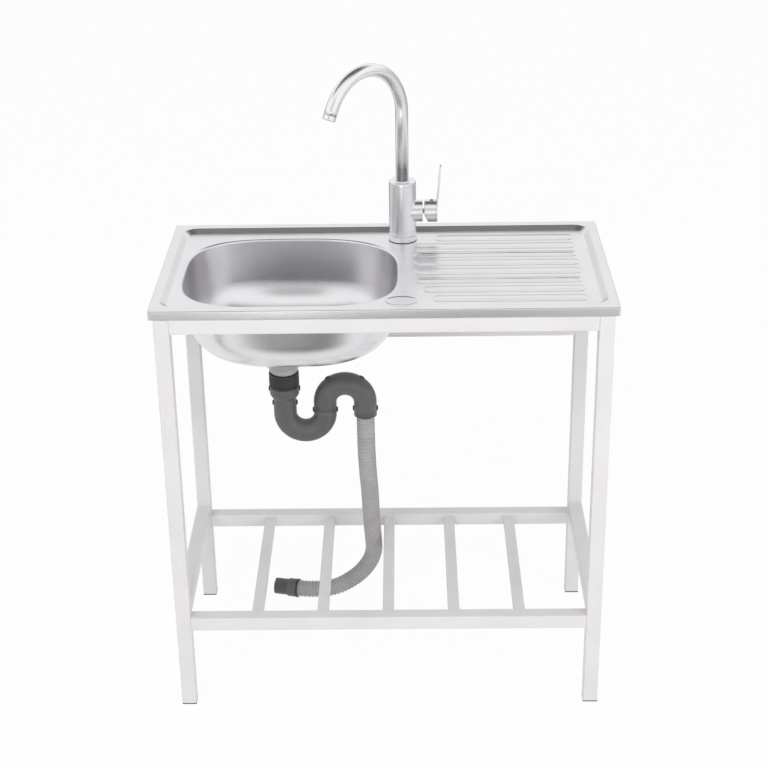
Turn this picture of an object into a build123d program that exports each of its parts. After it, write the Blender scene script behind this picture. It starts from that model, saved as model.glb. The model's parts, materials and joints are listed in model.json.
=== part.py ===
from build123d import *

import os
from math import atan, cos, pi, radians, sin, tan

# Free-standing kitchen sink unit: a welded tube stand with a slatted shelf, a pressed worktop
# with bowl and drainer, a basket waste, a trap with a corrugated hose, and a mixer tap.
# Millimetres. X runs along the worktop, -Y is the front, +Z is up. The origin is on the floor,
# under the middle of the worktop.

os.makedirs("parts", exist_ok=True)

# Clearances
running = 0.05          # radial play of a turning or sliding fit
seat_gap = 0.3          # rest gap between two bodies
loose_fit = 0.2         # play of a push-in or threaded piece

# Worktop sheet
top_length = 750.0
top_depth = 400.0
top_height = 755.0
sheet = 0.8
edge_height = 15.0
edge_return = 26.0      # folded in under the edge, rests on the stand
edge_corner = 3.0
edge_radius = 1.6
rim_side = 15.0
rim_back = 18.0
rim_front = 19.0
recess_depth = 7.0
slope_run = 10.0
recess_corner = 28.0
rim_radius = 2.4
foot_radius = 3.0

# Bowl
bowl_margin = 39.5      # left edge of the worktop to the bowl
bowl_back_margin = 59.0  # back edge of the worktop to the bowl
bowl_length = 357.0
bowl_front_margin = 36.0
bowl_depth = 130.0
bowl_corner = 103.0
bowl_tap_corner = 124.0
bowl_foot_straight = 23.0  # of the floor's short sides, between their corners
bowl_draft_x = 10.0
bowl_draft_y = 5.0
bowl_floor_radius = 58.0
bowl_lip_radius = 3.6

# Drainer ribs
rib_count = 8
rib_margin = 20.75      # foot of the recess to the first rib
rib_width = 25.0
rib_height = 2.4
rib_run = 4.5
rib_top_radius = 2.0
rib_start_gap = 27.0    # bowl to the first rib end
rib_end_margin = 44.0   # right edge of the worktop to the ribs
rib_cut_front = 15.0    # how much the two front ribs start later, each
rib_cut_back = 38.0     # how much the back rib starts later

# Small oval dish between bowl and drainer
dish_length = 52.0
dish_width = 37.0
dish_depth = 3.6
dish_run = 8.5
dish_foot_radius = 2.0
dish_gap = 6.5          # bowl's side to the dish's middle
dish_front_margin = 54.0

# Stand
tube = 25.0
tube_wall = 1.2
tube_corner = 2.0
leg_side_inset = 8.0
leg_back_inset = 17.5
foot_thickness = 3.0
foot_plug = 15.0
plug_wall = 2.4
shelf_height = 180.0
side_rail_rise = 23.0
brace_bottom = 550.0
slat_count = 5
slat_width = 20.0
slat_thick = 10.0
slat_wall = 1.0
slat_corner = 1.6
slat_drop = 5.5         # slat top below the rail top

# Basket waste
waste_offset = 20.0     # waste axis left of the bowl's middle
waste_seat_radius = 59.0
waste_seat_depth = 2.5
waste_hole_radius = 45.0
gasket_thick = 1.2
flange_radius = 57.0
flange_thick = 1.3
strainer_radius = 40.0
strainer_wall = 1.0
strainer_depth = 29.0
strainer_hole_count = 6
strainer_hole_radius = 6.0
strainer_circle_radius = 24.0
cup_rim_radius = 52.0
cup_rim_thick = 4.0
cup_wall = 2.5
cup_throat_drop = 17.0  # strainer floor to the cup's throat
cup_ring_radius = 29.5
cup_ring_thick = 8.0
spigot_radius = 21.5
spigot_bore = 17.0
spigot_length = 21.0
arm_thick = 4.0
arm_width = 4.0
boss_radius = 7.5
screw_radius = 3.0
screw_head_radius = 6.0
screw_head_thick = 3.0
screw_slot = 1.5
basket_radius = 37.5
basket_rim = 4.5        # rim beyond the strainer's wall
basket_depth = 18.0
basket_wall = 1.0
basket_hole_count = 12
basket_hole_radius = 2.6
basket_hole_circles = (14.0, 22.0, 30.0)
grip_foot_radius = 7.0
grip_foot_thick = 2.0
grip_stem_radius = 3.2
grip_stem_length = 12.0
grip_radius = 10.0
grip_thick = 7.0
grip_edge = 2.0

# Trap
pipe_radius = 20.0
pipe_bore = 17.0
bend_radius = 35.0
washer_thick = 2.0
nut_wall = 4.3
nut_height = 27.0
nut_lip = 3.0
neck_flange_thick = 3.0
collar_radius = 25.4
collar_height = 14.0
collar_taper = 9.0
inlet_leg = 29.0        # straight pipe under the collar
joint_rise = 10.0       # pipe joint above the lower bend
joint_depth = 9.0
riser = 20.0            # straight pipe between the two bends
outlet_leg = 25.0
lug_long = 9.0
lug_wide = 6.0
lug_proud = 2.2
shoulder_angles = (57.0, 123.0)

# Drain hose
hose_radius = 16.0
hose_valley = 14.6
hose_bore = 13.0
hose_pitch = 7.0
hose_exit_run = 60.0    # straight down out of the trap
hose_rib = ((0, hose_valley), (0.3, hose_valley), (0.5, hose_radius), (0.8, hose_radius))  # share of a pitch
arc_share = 0.45        # of the shorter run, taken by each corner's arc
cuff_insert = 24.0
cuff_radius = 17.6
cuff_length = 18.0
cuff_chamfer = 1.8
nozzle_radius = 15.6
nozzle_length = 25.0
end_ring_radius = 18.2
end_ring_width = 4.0

# Tap
tap_gap = 9.5           # bowl's side to the tap's axis
tap_back_margin = 62.5  # back edge of the worktop to the tap's axis
tap_hole_radius = 17.5
tap_gasket_radius = 24.3
tap_gasket_thick = 1.0
base_ring_radius = 25.0
base_ring_height = 9.0
base_ring_chamfer = 1.3
body_radius = 23.5
body_height = 98.0
body_spigot_radius = 21.0
body_chamfer = 1.6
socket_rise = 42.0      # base ring to the socket's axis
socket_radius = 18.8
socket_length = 35.0    # from the tap's axis
cartridge_radius = 15.0
cartridge_length = 16.0
cartridge_floor = 3.0
cartridge_nut_length = 6.0
waterway_radius = 3.5
waterway_offset = 6.0   # waterways off the cartridge's axis
inlet_radius = 4.5
inlet_depth = 12.0
inlet_spread = 7.0      # inlets off the tap's axis
spout_radius = 11.0
spout_wall = 1.4
spout_bend = 89.0
spout_rise = 122.0      # body top to the bend
spout_sweep = 154.0
spout_end = 8.0
spout_heading = 47.6    # turned forwards from -X
spout_insert = 42.0
insert_wall = 3.4
bushing_wall = 1.8
bushing_length = 14.0
oring_radius = 0.85
oring_drops = (30.0, 36.0)  # below the body's top
lock_screw_radius = 2.5
lock_screw_tip = 1.4
lock_screw_drop = 22.0
lock_groove_depth = 1.8
aerator_length = 8.0
aerator_spigot = 8.0
aerator_wall = 1.6
mesh_thick = 4.0
mesh_hole_radius = 0.7
mesh_spacing = 2.4
mesh_rows = 5
shank_radius = 16.0
shank_wall = 2.4
shank_length = 50.0     # under the deck
shank_socket = 14.0
clamp_radius = 26.0
clamp_rubber = 2.5
clamp_steel = 1.5
shank_nut_flats = 36.0
shank_nut_height = 9.0

# Tap handle
tilt_pivot = 30.0       # from the tap's axis
rotor_radius = 10.5
rotor_wall = 3.3
rotor_floor = 3.0
rotor_length = 15.0
pivot_pin_radius = 1.5
stem_size = 7.0
stem_inner = 4.0
cap_gap = 3.2
cap_radius = 19.5
cap_length = 19.5
cap_wall = 3.0
cap_solid = 11.0        # solid part at the cap's outer end
cap_bevel_angle = 25.0
cap_bevel_start = 3.0
stem_socket = 8.0
lever_disc = 3.0
blade_height = 84.0
blade_width = 17.0
blade_tip_width = 12.0
blade_tip_radius = 5.4
blade_thick = 2.6
blade_lean = 5.0
grub_radius = 2.5
grub_length = 8.0
hex_socket_radius = 1.5
button_radius = 4.0
button_proud = 1.6
button_depth = 3.0

# Places worked out from the sizes
edge_base = top_height - edge_height
deck = top_height - recess_depth
bowl_x = -top_length / 2 + bowl_margin + bowl_length / 2
bowl_width = top_depth - bowl_back_margin - bowl_front_margin
bowl_y = top_depth / 2 - bowl_back_margin - bowl_width / 2
bowl_foot_corner = (bowl_width - 2 * bowl_draft_y - bowl_foot_straight) / 2
bowl_right = bowl_x + bowl_length / 2
bowl_floor = deck - bowl_depth
recess_y = (rim_front - rim_back) / 2
recess_length = top_length - 2 * rim_side
recess_width = top_depth - rim_front - rim_back
rib_pitch = (recess_width - 2 * slope_run - 2 * rib_margin - rib_width) / (rib_count - 1)
leg_x = top_length / 2 - leg_side_inset - tube / 2
leg_front = -top_depth / 2 + tube / 2
leg_back = top_depth / 2 - leg_back_inset - tube / 2
rail_span_x = 2 * leg_x - tube
rail_start_y = leg_front + tube / 2
rail_end_y = leg_back - tube / 2

waste_x = bowl_x - waste_offset
waste_y = bowl_y
waste_axis = Axis((waste_x, waste_y, 0), (0, 0, 1))
seat_top = bowl_floor - waste_seat_depth
flange_bottom = seat_top + gasket_thick
flange_top = flange_bottom + flange_thick
strainer_floor = flange_top - strainer_depth
cup_top = seat_top - sheet - gasket_thick
throat = strainer_floor - cup_throat_drop
cup_ring_bottom = throat - cup_ring_thick
spigot_end = cup_ring_bottom - spigot_length
neck_top = spigot_end - washer_thick
nut_bottom = neck_top - neck_flange_thick - nut_lip
lower_bend = nut_bottom - collar_height - collar_taper - inlet_leg
upper_bend = lower_bend + riser
joint_z = lower_bend + joint_rise
outlet_x = waste_x + 4 * bend_radius
outlet_z = upper_bend - outlet_leg

tap_x = bowl_right + tap_gap
tap_y = top_depth / 2 - tap_back_margin
body_base = deck + tap_gasket_thick
body_shoulder = body_base + base_ring_height
body_top = body_shoulder + body_height
handle_z = body_shoulder + socket_rise
socket_face = tap_x + socket_length
cartridge_back = socket_face - cartridge_nut_length - cartridge_length
rotor_back = cartridge_back + cartridge_floor
pivot_x = tap_x + tilt_pivot
cap_face = socket_face + cap_gap
cap_end = cap_face + cap_length
spout_bottom = body_top - spout_insert
waterways = ((-inlet_spread, -waterway_offset), (inlet_spread, -waterway_offset), (0, waterway_offset))


def save(piece, label):
    piece.part.label = label
    export_step(piece.part, f"parts/{label}.step")


def across(x, y, z):
    """A plane whose normal is +X; its own x is Y and its own y is Z."""
    return Plane(origin=(x, y, z), x_dir=(0, 1, 0), z_dir=(1, 0, 0))


def along(x, y, z):
    """A plane whose normal is +Y; its own x is X."""
    return Plane(origin=(x, y, z), x_dir=(1, 0, 0), z_dir=(0, 1, 0))


def hollow_bar(plane, length, width, height, wall, corner):
    """One straight rectangular tube with its section in the plane."""
    with BuildPart() as bar:
        with BuildSketch(plane):
            RectangleRounded(width, height, corner)
            RectangleRounded(width - 2 * wall, height - 2 * wall, corner - wall, mode=Mode.SUBTRACT)
        extrude(amount=length)
    return bar


def square_bar(plane, length):
    return hollow_bar(plane, length, tube, tube, tube_wall, tube_corner)


def ring(plane, outer, inner, length):
    """A flat ring or a sleeve that stands on the plane."""
    with BuildPart() as sleeve:
        with BuildSketch(plane):
            Circle(outer)
            Circle(inner, mode=Mode.SUBTRACT)
        extrude(amount=length)
    return sleeve


def upright(x, y, z):
    """A plane that faces the front; its own x is X and its own y is Z."""
    return Plane(origin=(x, y, z), x_dir=(1, 0, 0), z_dir=(0, -1, 0))


def outline(plane, *points):
    """A closed outline of straight lines in the plane."""
    with BuildSketch(plane) as area:
        with BuildLine():
            Polyline(*points, close=True)
        make_face()
    return area.sketch


# ---- Stand ----

def make_stand():
    for end, y in (("front", leg_front), ("back", leg_back)):
        for side, x in (("left", -leg_x), ("right", leg_x)):
            leg = square_bar(Plane((x, y, foot_thickness)), edge_base - foot_thickness)
            save(leg, f"leg_{end}_{side}")
            save(foot_cap(x, y), f"foot_cap_{end}_{side}")
    rail_x = -rail_span_x / 2
    upper_z = edge_base - tube / 2
    lower_z = shelf_height - tube / 2
    save(square_bar(across(rail_x, leg_front, upper_z), rail_span_x), "upper_front_rail")
    save(square_bar(across(rail_x, leg_back, upper_z), rail_span_x), "upper_back_rail")
    save(square_bar(across(rail_x, leg_back, brace_bottom + tube / 2), rail_span_x), "back_brace_rail")
    save(square_bar(across(rail_x, leg_front, lower_z), rail_span_x), "lower_front_rail")
    save(square_bar(across(rail_x, leg_back, lower_z), rail_span_x), "lower_back_rail")
    span_y = rail_end_y - rail_start_y
    for side, x in (("left", -leg_x), ("right", leg_x)):
        save(square_bar(along(x, rail_start_y, upper_z), span_y), f"upper_{side}_rail")
        save(square_bar(along(x, rail_start_y, lower_z + side_rail_rise), span_y), f"lower_{side}_rail")
    slat_pitch = rail_span_x / (slat_count + 1)
    slat_z = shelf_height - slat_drop - slat_thick / 2
    for number in range(slat_count):
        x = (number - (slat_count - 1) / 2) * slat_pitch
        plane = along(x, rail_start_y, slat_z)
        slat = hollow_bar(plane, span_y, slat_width, slat_thick, slat_wall, slat_corner)
        save(slat, f"shelf_slat_{number + 1}")


def foot_cap(x, y):
    """A square glide with a plug that is pushed into the leg."""
    plug = tube - 2 * tube_wall - 2 * loose_fit
    with BuildPart() as cap:
        with BuildSketch(Plane((x, y, 0))):
            RectangleRounded(tube, tube, tube_corner)
        extrude(amount=foot_thickness)
        with BuildSketch(Plane((x, y, foot_thickness))):
            RectangleRounded(plug, plug, tube_corner)
            Rectangle(plug - 2 * plug_wall, plug - 2 * plug_wall, mode=Mode.SUBTRACT)
        extrude(amount=foot_plug)
    return cap


# ---- Worktop ----

def at_waste(z):
    return Plane((waste_x, waste_y, z))


def recess_block(skin):
    """The space of the recess; skin 0 is its upper surface and skin = sheet its underside."""
    slope = atan(recess_depth / slope_run)
    grow = 2 * skin * tan(slope / 2)
    with BuildPart() as block:
        with BuildSketch(Plane((0, recess_y, top_height - skin))):
            RectangleRounded(recess_length + grow, recess_width + grow, recess_corner + grow / 2)
        with BuildSketch(Plane((0, recess_y, deck - skin))):
            RectangleRounded(
                recess_length - 2 * slope_run + grow,
                recess_width - 2 * slope_run + grow,
                recess_corner - slope_run + grow / 2,
            )
        loft(ruled=True)
    return block.part


def bowl_block(skin):
    """The bowl's space, or with skin = sheet its outside."""
    with BuildPart() as block:
        for z, inset_x, inset_y, corner, tap_corner in (
            (deck, 0.0, 0.0, bowl_corner, bowl_tap_corner),
            (bowl_floor - skin, bowl_draft_x, bowl_draft_y, bowl_foot_corner, bowl_foot_corner),
        ):
            with BuildSketch(Plane((bowl_x, bowl_y, z))) as outline:
                Rectangle(bowl_length - 2 * inset_x + 2 * skin, bowl_width - 2 * inset_y + 2 * skin)
                fillet(outline.vertices().sort_by(lambda v: v.X + v.Y)[:-1], corner + skin)
                fillet(outline.vertices().sort_by(lambda v: v.X + v.Y)[-1], tap_corner + skin)
        loft(ruled=True)
        fillet(block.faces().sort_by(Axis.Z)[0].edges(), bowl_floor_radius + skin)
        with BuildSketch(at_waste(bowl_floor - skin)):
            Circle(waste_seat_radius + skin)
        extrude(amount=-waste_seat_depth)
    return block.part


def rib_block(skin):
    """All drainer ribs, as raised slots with sloping sides."""
    slope = atan(rib_height / rib_run)
    shrink = 2 * skin * tan(slope / 2)
    first = bowl_right + rib_start_gap
    last = top_length / 2 - rib_end_margin
    with BuildPart() as block:
        for number in range(rib_count):
            y = recess_y + (number - (rib_count - 1) / 2) * rib_pitch
            start = first + rib_cut_front * max(0, 2 - number)
            start = start + rib_cut_back * max(0, number - rib_count + 2)
            middle, length = (start + last) / 2, last - start
            with BuildSketch(Plane((middle, y, deck - skin))):
                SlotOverall(length - shrink, rib_width - shrink)
            with BuildSketch(Plane((middle, y, deck - skin + rib_height))):
                SlotOverall(length - shrink - 2 * rib_run, rib_width - shrink - 2 * rib_run)
            loft(ruled=True)
        tops = block.faces().filter_by(Plane.XY).filter_by(lambda f: f.center().Z > deck + rib_height / 2)
        fillet(tops.edges(), rib_top_radius - skin / 2)
    return block.part


def dish_block(skin):
    """The oval dish's space."""
    slope = atan(dish_depth / dish_run)
    grow = skin * tan(slope / 2)
    x = bowl_right + dish_gap
    y = -top_depth / 2 + dish_front_margin
    with BuildPart() as block:
        with BuildSketch(Plane((x, y, deck - skin))):
            Ellipse(dish_length / 2 + grow, dish_width / 2 + grow)
        with BuildSketch(Plane((x, y, deck - skin - dish_depth))):
            Ellipse(dish_length / 2 - dish_run + grow, dish_width / 2 - dish_run + grow)
        loft(ruled=True)
        fillet(block.faces().sort_by(Axis.Z)[0].edges(), dish_foot_radius + skin)
    return block.part


def pressed_form(skin):
    """The block under the worktop's upper surface, or with skin = sheet under its lower one."""
    surface = deck - skin
    with BuildPart() as form:
        with BuildSketch(Plane.XY.offset(edge_base + skin)):
            RectangleRounded(top_length - 2 * skin, top_depth - 2 * skin, edge_corner - skin)
        extrude(amount=edge_height - 2 * skin)
        fillet(form.faces().sort_by(Axis.Z)[-1].edges(), edge_radius - skin)
        add(recess_block(skin), mode=Mode.SUBTRACT)
        fillet(form.faces().sort_by(Axis.Z)[-1].inner_wires()[0].edges(), rim_radius - skin)
        slope_foot = form.faces().filter_by(Plane.XY).filter_by(lambda f: abs(f.center().Z - surface) < 0.01)
        fillet(slope_foot[0].outer_wire().edges(), foot_radius + skin)
        add(bowl_block(skin), mode=Mode.SUBTRACT)
        floor = form.faces().filter_by(Plane.XY).filter_by(lambda f: abs(f.center().Z - surface) < 0.01)
        fillet(floor[0].inner_wires()[0].edges(), bowl_lip_radius - skin)
        add(rib_block(skin))
        add(dish_block(skin), mode=Mode.SUBTRACT)
    return form.part


def make_sink_top():
    with BuildPart() as sink_top:
        add(pressed_form(0))
        add(pressed_form(sheet), mode=Mode.SUBTRACT)
        with BuildSketch(Plane.XY.offset(edge_base)):
            Rectangle(top_length - 2 * edge_return, top_depth - 2 * edge_return)
        extrude(amount=sheet, mode=Mode.SUBTRACT)
        with BuildSketch(Plane((tap_x, tap_y, deck))):
            Circle(tap_hole_radius)
        extrude(amount=-sheet, mode=Mode.SUBTRACT)
    save(sink_top, "sink_top")


def make_bowl():
    """The bowl, welded edge to edge to the worktop's lip, down to the waste seat."""
    with BuildPart() as bowl:
        add(bowl_block(sheet))
        add(bowl_block(0), mode=Mode.SUBTRACT)
        split(bisect_by=Plane.XY.offset(edge_base + sheet), keep=Keep.BOTTOM)
        with BuildSketch(at_waste(seat_top)):
            Circle(waste_hole_radius)
        extrude(amount=-sheet, mode=Mode.SUBTRACT)
    save(bowl, "bowl")


# ---- Basket waste ----

def make_waste():
    with BuildPart() as gaskets:
        for bottom, outer in ((seat_top, flange_radius), (cup_top, cup_rim_radius)):
            with BuildSketch(at_waste(bottom)):
                Circle(outer)
                Circle(waste_hole_radius, mode=Mode.SUBTRACT)
            extrude(amount=gasket_thick)
    save(gaskets, "strainer_gaskets")
    make_strainer()
    make_cup()
    make_basket()
    with BuildPart() as screw:
        with BuildSketch(at_waste(strainer_floor)):
            Circle(screw_head_radius)
        extrude(amount=screw_head_thick)
        with BuildSketch(at_waste(strainer_floor)):
            Circle(screw_radius)
        extrude(amount=-(strainer_floor - throat + arm_thick))
        with BuildSketch(at_waste(strainer_floor + screw_head_thick)):
            Rectangle(2 * screw_head_radius, screw_slot)
        extrude(amount=-screw_slot, mode=Mode.SUBTRACT)
    save(screw, "strainer_screw")


def make_strainer():
    inner = strainer_radius - strainer_wall
    profile = outline(
        upright(waste_x, waste_y, 0),
        (screw_radius + loose_fit, strainer_floor),
        (inner, strainer_floor),
        (inner, flange_top - strainer_wall),
        (strainer_radius, flange_top),
        (flange_radius, flange_top),
        (flange_radius, flange_bottom),
        (strainer_radius, flange_bottom),
        (strainer_radius, strainer_floor - strainer_wall),
        (screw_radius + loose_fit, strainer_floor - strainer_wall),
    )
    with BuildPart() as strainer:
        revolve(profile, axis=waste_axis)
        with BuildSketch(at_waste(strainer_floor)):
            with PolarLocations(strainer_circle_radius, strainer_hole_count):
                Circle(strainer_hole_radius)
        extrude(amount=-strainer_wall, mode=Mode.SUBTRACT)
    save(strainer, "strainer_flange")


def make_cup():
    """The cup under the bowl, with the arms that hold the centre screw's boss."""
    cup_inner = strainer_radius + 2 * loose_fit
    cup_outer = cup_inner + cup_wall
    profile = outline(
        upright(waste_x, waste_y, 0),
        (cup_inner, cup_top),
        (cup_rim_radius, cup_top),
        (cup_rim_radius, cup_top - cup_rim_thick),
        (cup_outer, cup_top - cup_rim_thick),
        (cup_outer, strainer_floor - strainer_wall),
        (cup_ring_radius, throat),
        (cup_ring_radius, cup_ring_bottom),
        (spigot_radius, cup_ring_bottom),
        (spigot_radius, spigot_end),
        (spigot_bore, spigot_end),
        (spigot_bore, throat),
        (cup_inner, strainer_floor - strainer_wall),
    )
    with BuildPart() as cup:
        revolve(profile, axis=waste_axis)
        with BuildSketch(at_waste(throat)):
            Circle(boss_radius)
            Rectangle(2 * spigot_bore + cup_wall, arm_width)
            Rectangle(arm_width, 2 * spigot_bore + cup_wall)
            Circle(screw_radius + running, mode=Mode.SUBTRACT)
        extrude(amount=-arm_thick)
    save(cup, "strainer_cup")


def make_basket():
    """The lift-out basket; its rim rests on the strainer's flange."""
    rim_bottom = flange_top + seat_gap
    rim_top = rim_bottom + basket_wall
    rim_outer = strainer_radius + basket_rim
    floor_z = rim_top - basket_depth
    inner = basket_radius - basket_wall
    profile = outline(
        upright(waste_x, waste_y, 0),
        (0, floor_z),
        (inner, floor_z),
        (inner, rim_top),
        (rim_outer, rim_top),
        (rim_outer, rim_bottom),
        (basket_radius, rim_bottom),
        (basket_radius, floor_z - basket_wall),
        (0, floor_z - basket_wall),
    )
    with BuildPart() as basket:
        revolve(profile, axis=waste_axis)
        with BuildSketch(at_waste(floor_z)):
            for circle in basket_hole_circles:
                with PolarLocations(circle, basket_hole_count):
                    Circle(basket_hole_radius)
        extrude(amount=-basket_wall, mode=Mode.SUBTRACT)
    save(basket, "strainer_basket")
    stem_top = floor_z + grip_foot_thick + grip_stem_length
    profile = outline(
        upright(waste_x, waste_y, 0),
        (0, floor_z),
        (grip_foot_radius, floor_z),
        (grip_foot_radius, floor_z + grip_foot_thick),
        (grip_stem_radius, floor_z + grip_foot_thick),
        (grip_stem_radius, stem_top),
        (grip_radius - grip_edge, stem_top),
        (grip_radius, stem_top + grip_edge),
        (grip_radius, stem_top + grip_thick - grip_edge),
        (grip_radius - grip_edge, stem_top + grip_thick),
        (0, stem_top + grip_thick),
    )
    with BuildPart() as grip:
        revolve(profile, axis=waste_axis)
    save(grip, "basket_grip")


# ---- Trap ----

def lug_pair(x, z, radius):
    """The middle section of two small moulded lugs, left and right on an upright pipe."""
    with BuildSketch(upright(x, waste_y, z)) as lugs:
        Rectangle(2 * (radius + lug_proud), lug_long)
        Rectangle(2 * radius - lug_proud, lug_long, mode=Mode.SUBTRACT)
    return lugs.sketch


def make_trap():
    nut_bore = spigot_radius + loose_fit
    nut_top = nut_bottom + nut_height
    profile = outline(
        upright(waste_x, waste_y, 0),
        (pipe_radius + loose_fit, nut_bottom),
        (nut_bore + nut_wall, nut_bottom),
        (nut_bore + nut_wall, nut_top),
        (nut_bore, nut_top),
        (nut_bore, nut_bottom + nut_lip),
        (pipe_radius + loose_fit, nut_bottom + nut_lip),
    )
    with BuildPart() as nut:
        revolve(profile, axis=waste_axis)
    save(nut, "coupling_nut")
    save(ring(at_waste(neck_top), spigot_radius, pipe_bore, washer_thick), "coupling_washer")
    make_u_bend()
    make_return_bend()


def make_u_bend():
    middle_x = waste_x + 2 * bend_radius
    with BuildPart() as bend:
        with BuildLine(upright(waste_x, waste_y, 0)) as path:
            Line((0, neck_top), (0, lower_bend))
            CenterArc((bend_radius, lower_bend), bend_radius, 180, 180)
            Line((2 * bend_radius, lower_bend), (2 * bend_radius, joint_z))
        with BuildSketch(at_waste(neck_top)):
            Circle(pipe_radius)
        sweep(path=path.wires()[0])
        with BuildSketch(at_waste(neck_top)):
            Circle(spigot_radius)
        extrude(amount=-neck_flange_thick)
        with BuildSketch(at_waste(nut_bottom)):
            Circle(collar_radius)
        extrude(amount=-collar_height)
        with BuildSketch(at_waste(nut_bottom - collar_height)):
            Circle(collar_radius)
        with BuildSketch(at_waste(nut_bottom - collar_height - collar_taper)):
            Circle(pipe_radius)
        loft()
        with BuildSketch(Plane((middle_x, waste_y, joint_z))):
            Circle((pipe_radius + pipe_bore) / 2)
        extrude(amount=joint_depth)
        lugs = (
            lug_pair(waste_x, nut_bottom - lug_long / 2, collar_radius),
            lug_pair(waste_x, nut_bottom - collar_height - collar_taper - lug_long, pipe_radius),
            lug_pair(middle_x, joint_z - lug_long / 2, pipe_radius),
        )
        for lug in lugs:
            extrude(lug, amount=lug_wide / 2, both=True)
        with BuildSketch(at_waste(neck_top)):
            Circle(pipe_bore)
        sweep(path=path.wires()[0], mode=Mode.SUBTRACT)
        with BuildSketch(Plane((middle_x, waste_y, joint_z))):
            Circle(pipe_bore)
        extrude(amount=joint_depth, mode=Mode.SUBTRACT)
    save(bend, "trap_u_bend")


def make_return_bend():
    middle_x = waste_x + 2 * bend_radius
    arch_x = waste_x + 3 * bend_radius
    with BuildPart() as bend:
        with BuildLine(upright(waste_x, waste_y, 0)) as path:
            Line((2 * bend_radius, joint_z), (2 * bend_radius, upper_bend))
            CenterArc((3 * bend_radius, upper_bend), bend_radius, 180, -180)
            Line((4 * bend_radius, upper_bend), (4 * bend_radius, outlet_z))
        with BuildSketch(Plane((middle_x, waste_y, joint_z))):
            Circle(pipe_radius)
        sweep(path=path.wires()[0])
        extrude(lug_pair(outlet_x, outlet_z + outlet_leg / 2, pipe_radius), amount=lug_wide / 2, both=True)
        for angle in shoulder_angles:
            reach = bend_radius + pipe_radius - lug_proud
            x = arch_x + reach * cos(radians(angle))
            z = upper_bend + reach * sin(radians(angle))
            with BuildSketch(upright(x, waste_y, z)):
                Rectangle(4 * lug_proud, lug_long, rotation=angle)
            extrude(amount=lug_wide / 2, both=True)
        with BuildSketch(Plane((middle_x, waste_y, joint_z))):
            Circle(pipe_bore)
        sweep(path=path.wires()[0], mode=Mode.SUBTRACT)
        with BuildSketch(Plane((middle_x, waste_y, joint_z))):
            Circle((pipe_radius + pipe_bore) / 2 + running)
        extrude(amount=joint_depth + running, mode=Mode.SUBTRACT)
    save(bend, "trap_return_bend")


# ---- Drain hose ----

hose_end = (-182.0, 153.0, end_ring_radius + seat_gap)
hose_route = (
    (outlet_x, waste_y, outlet_z),
    (outlet_x, waste_y, outlet_z - hose_exit_run),
    (-35.5, 8, 357),
    (-33, 37, 298),
    (-32.5, 66, 238),
    (-30.5, 94, 176),
    (-28, 119, 113),
    (-62, 137, 53.5),
    (-124, 140, hose_end[2]),
    hose_end,
)
hose_heading = (Vector(hose_route[-1]) - Vector(hose_route[-2])).normalized()


def route_radii(points):
    """The largest arc for each corner that leaves a tenth of the shorter run straight."""
    radii = []
    for before, corner, after in zip(points, points[1:], points[2:]):
        run_in = Vector(corner) - Vector(before)
        run_out = Vector(after) - Vector(corner)
        turn = radians(run_in.get_angle(run_out))
        radii.append(arc_share * min(run_in.length, run_out.length) / tan(turn / 2))
    return radii


def make_hose():
    radii = route_radii(hose_route)
    print("hose radii:", [round(radius) for radius in radii])
    with BuildPart() as hose:
        with BuildLine() as path:
            FilletPolyline(*hose_route, radius=radii)
        line = path.wires()[0]
        ribs = int(line.length / hose_pitch)
        pitch = line.length / ribs
        for number in range(ribs):
            for share, radius in hose_rib:
                with BuildSketch(hose_plane(line, (number + share) * pitch)):
                    Circle(radius)
        with BuildSketch(hose_plane(line, line.length)):
            Circle(hose_valley)
        loft(ruled=True)
        with BuildSketch(hose_plane(line, 0)):
            Circle(hose_bore)
        sweep(path=line, mode=Mode.SUBTRACT)
    section = pi * (((hose_radius + hose_valley) / 2) ** 2 - hose_bore ** 2)
    print("hose length:", round(line.length), "volume to section:", round(hose.part.volume / section))
    save(hose, "drain_hose")


def hose_plane(line, distance):
    """The hose's section there, with its own x kept level with +Y all along."""
    spot = line.position_at(distance, position_mode=PositionMode.LENGTH)
    heading = line.tangent_at(distance, position_mode=PositionMode.LENGTH)
    level = Vector(0, 1, 0) - heading * heading.Y
    return Plane(origin=spot, x_dir=level, z_dir=heading)


def make_hose_ends():
    inlet_cuff = ring(Plane((outlet_x, waste_y, outlet_z)), pipe_bore - running, hose_bore, cuff_insert)
    save(inlet_cuff, "hose_inlet_cuff")
    end_plane = Plane(origin=hose_end, x_dir=(0, 0, 1), z_dir=hose_heading)
    with BuildPart() as cuff:
        with BuildSketch(end_plane):
            Circle(cuff_radius)
        extrude(amount=cuff_length)
        chamfer(cuff.edges().group_by(Axis(hose_end, hose_heading))[-1], cuff_chamfer)
        with BuildSketch(end_plane.offset(cuff_length)):
            Circle(nozzle_radius)
        extrude(amount=nozzle_length)
        with BuildSketch(end_plane):
            Circle(hose_bore)
        extrude(amount=cuff_length + nozzle_length, mode=Mode.SUBTRACT)
    save(cuff, "hose_end_cuff")
    save(ring(end_plane, end_ring_radius, hose_radius + running, -end_ring_width), "hose_end_ring")


# ---- Tap ----

def at_tap(z):
    return Plane((tap_x, tap_y, z))


def at_handle(x):
    return across(x, tap_y, handle_z)


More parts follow.
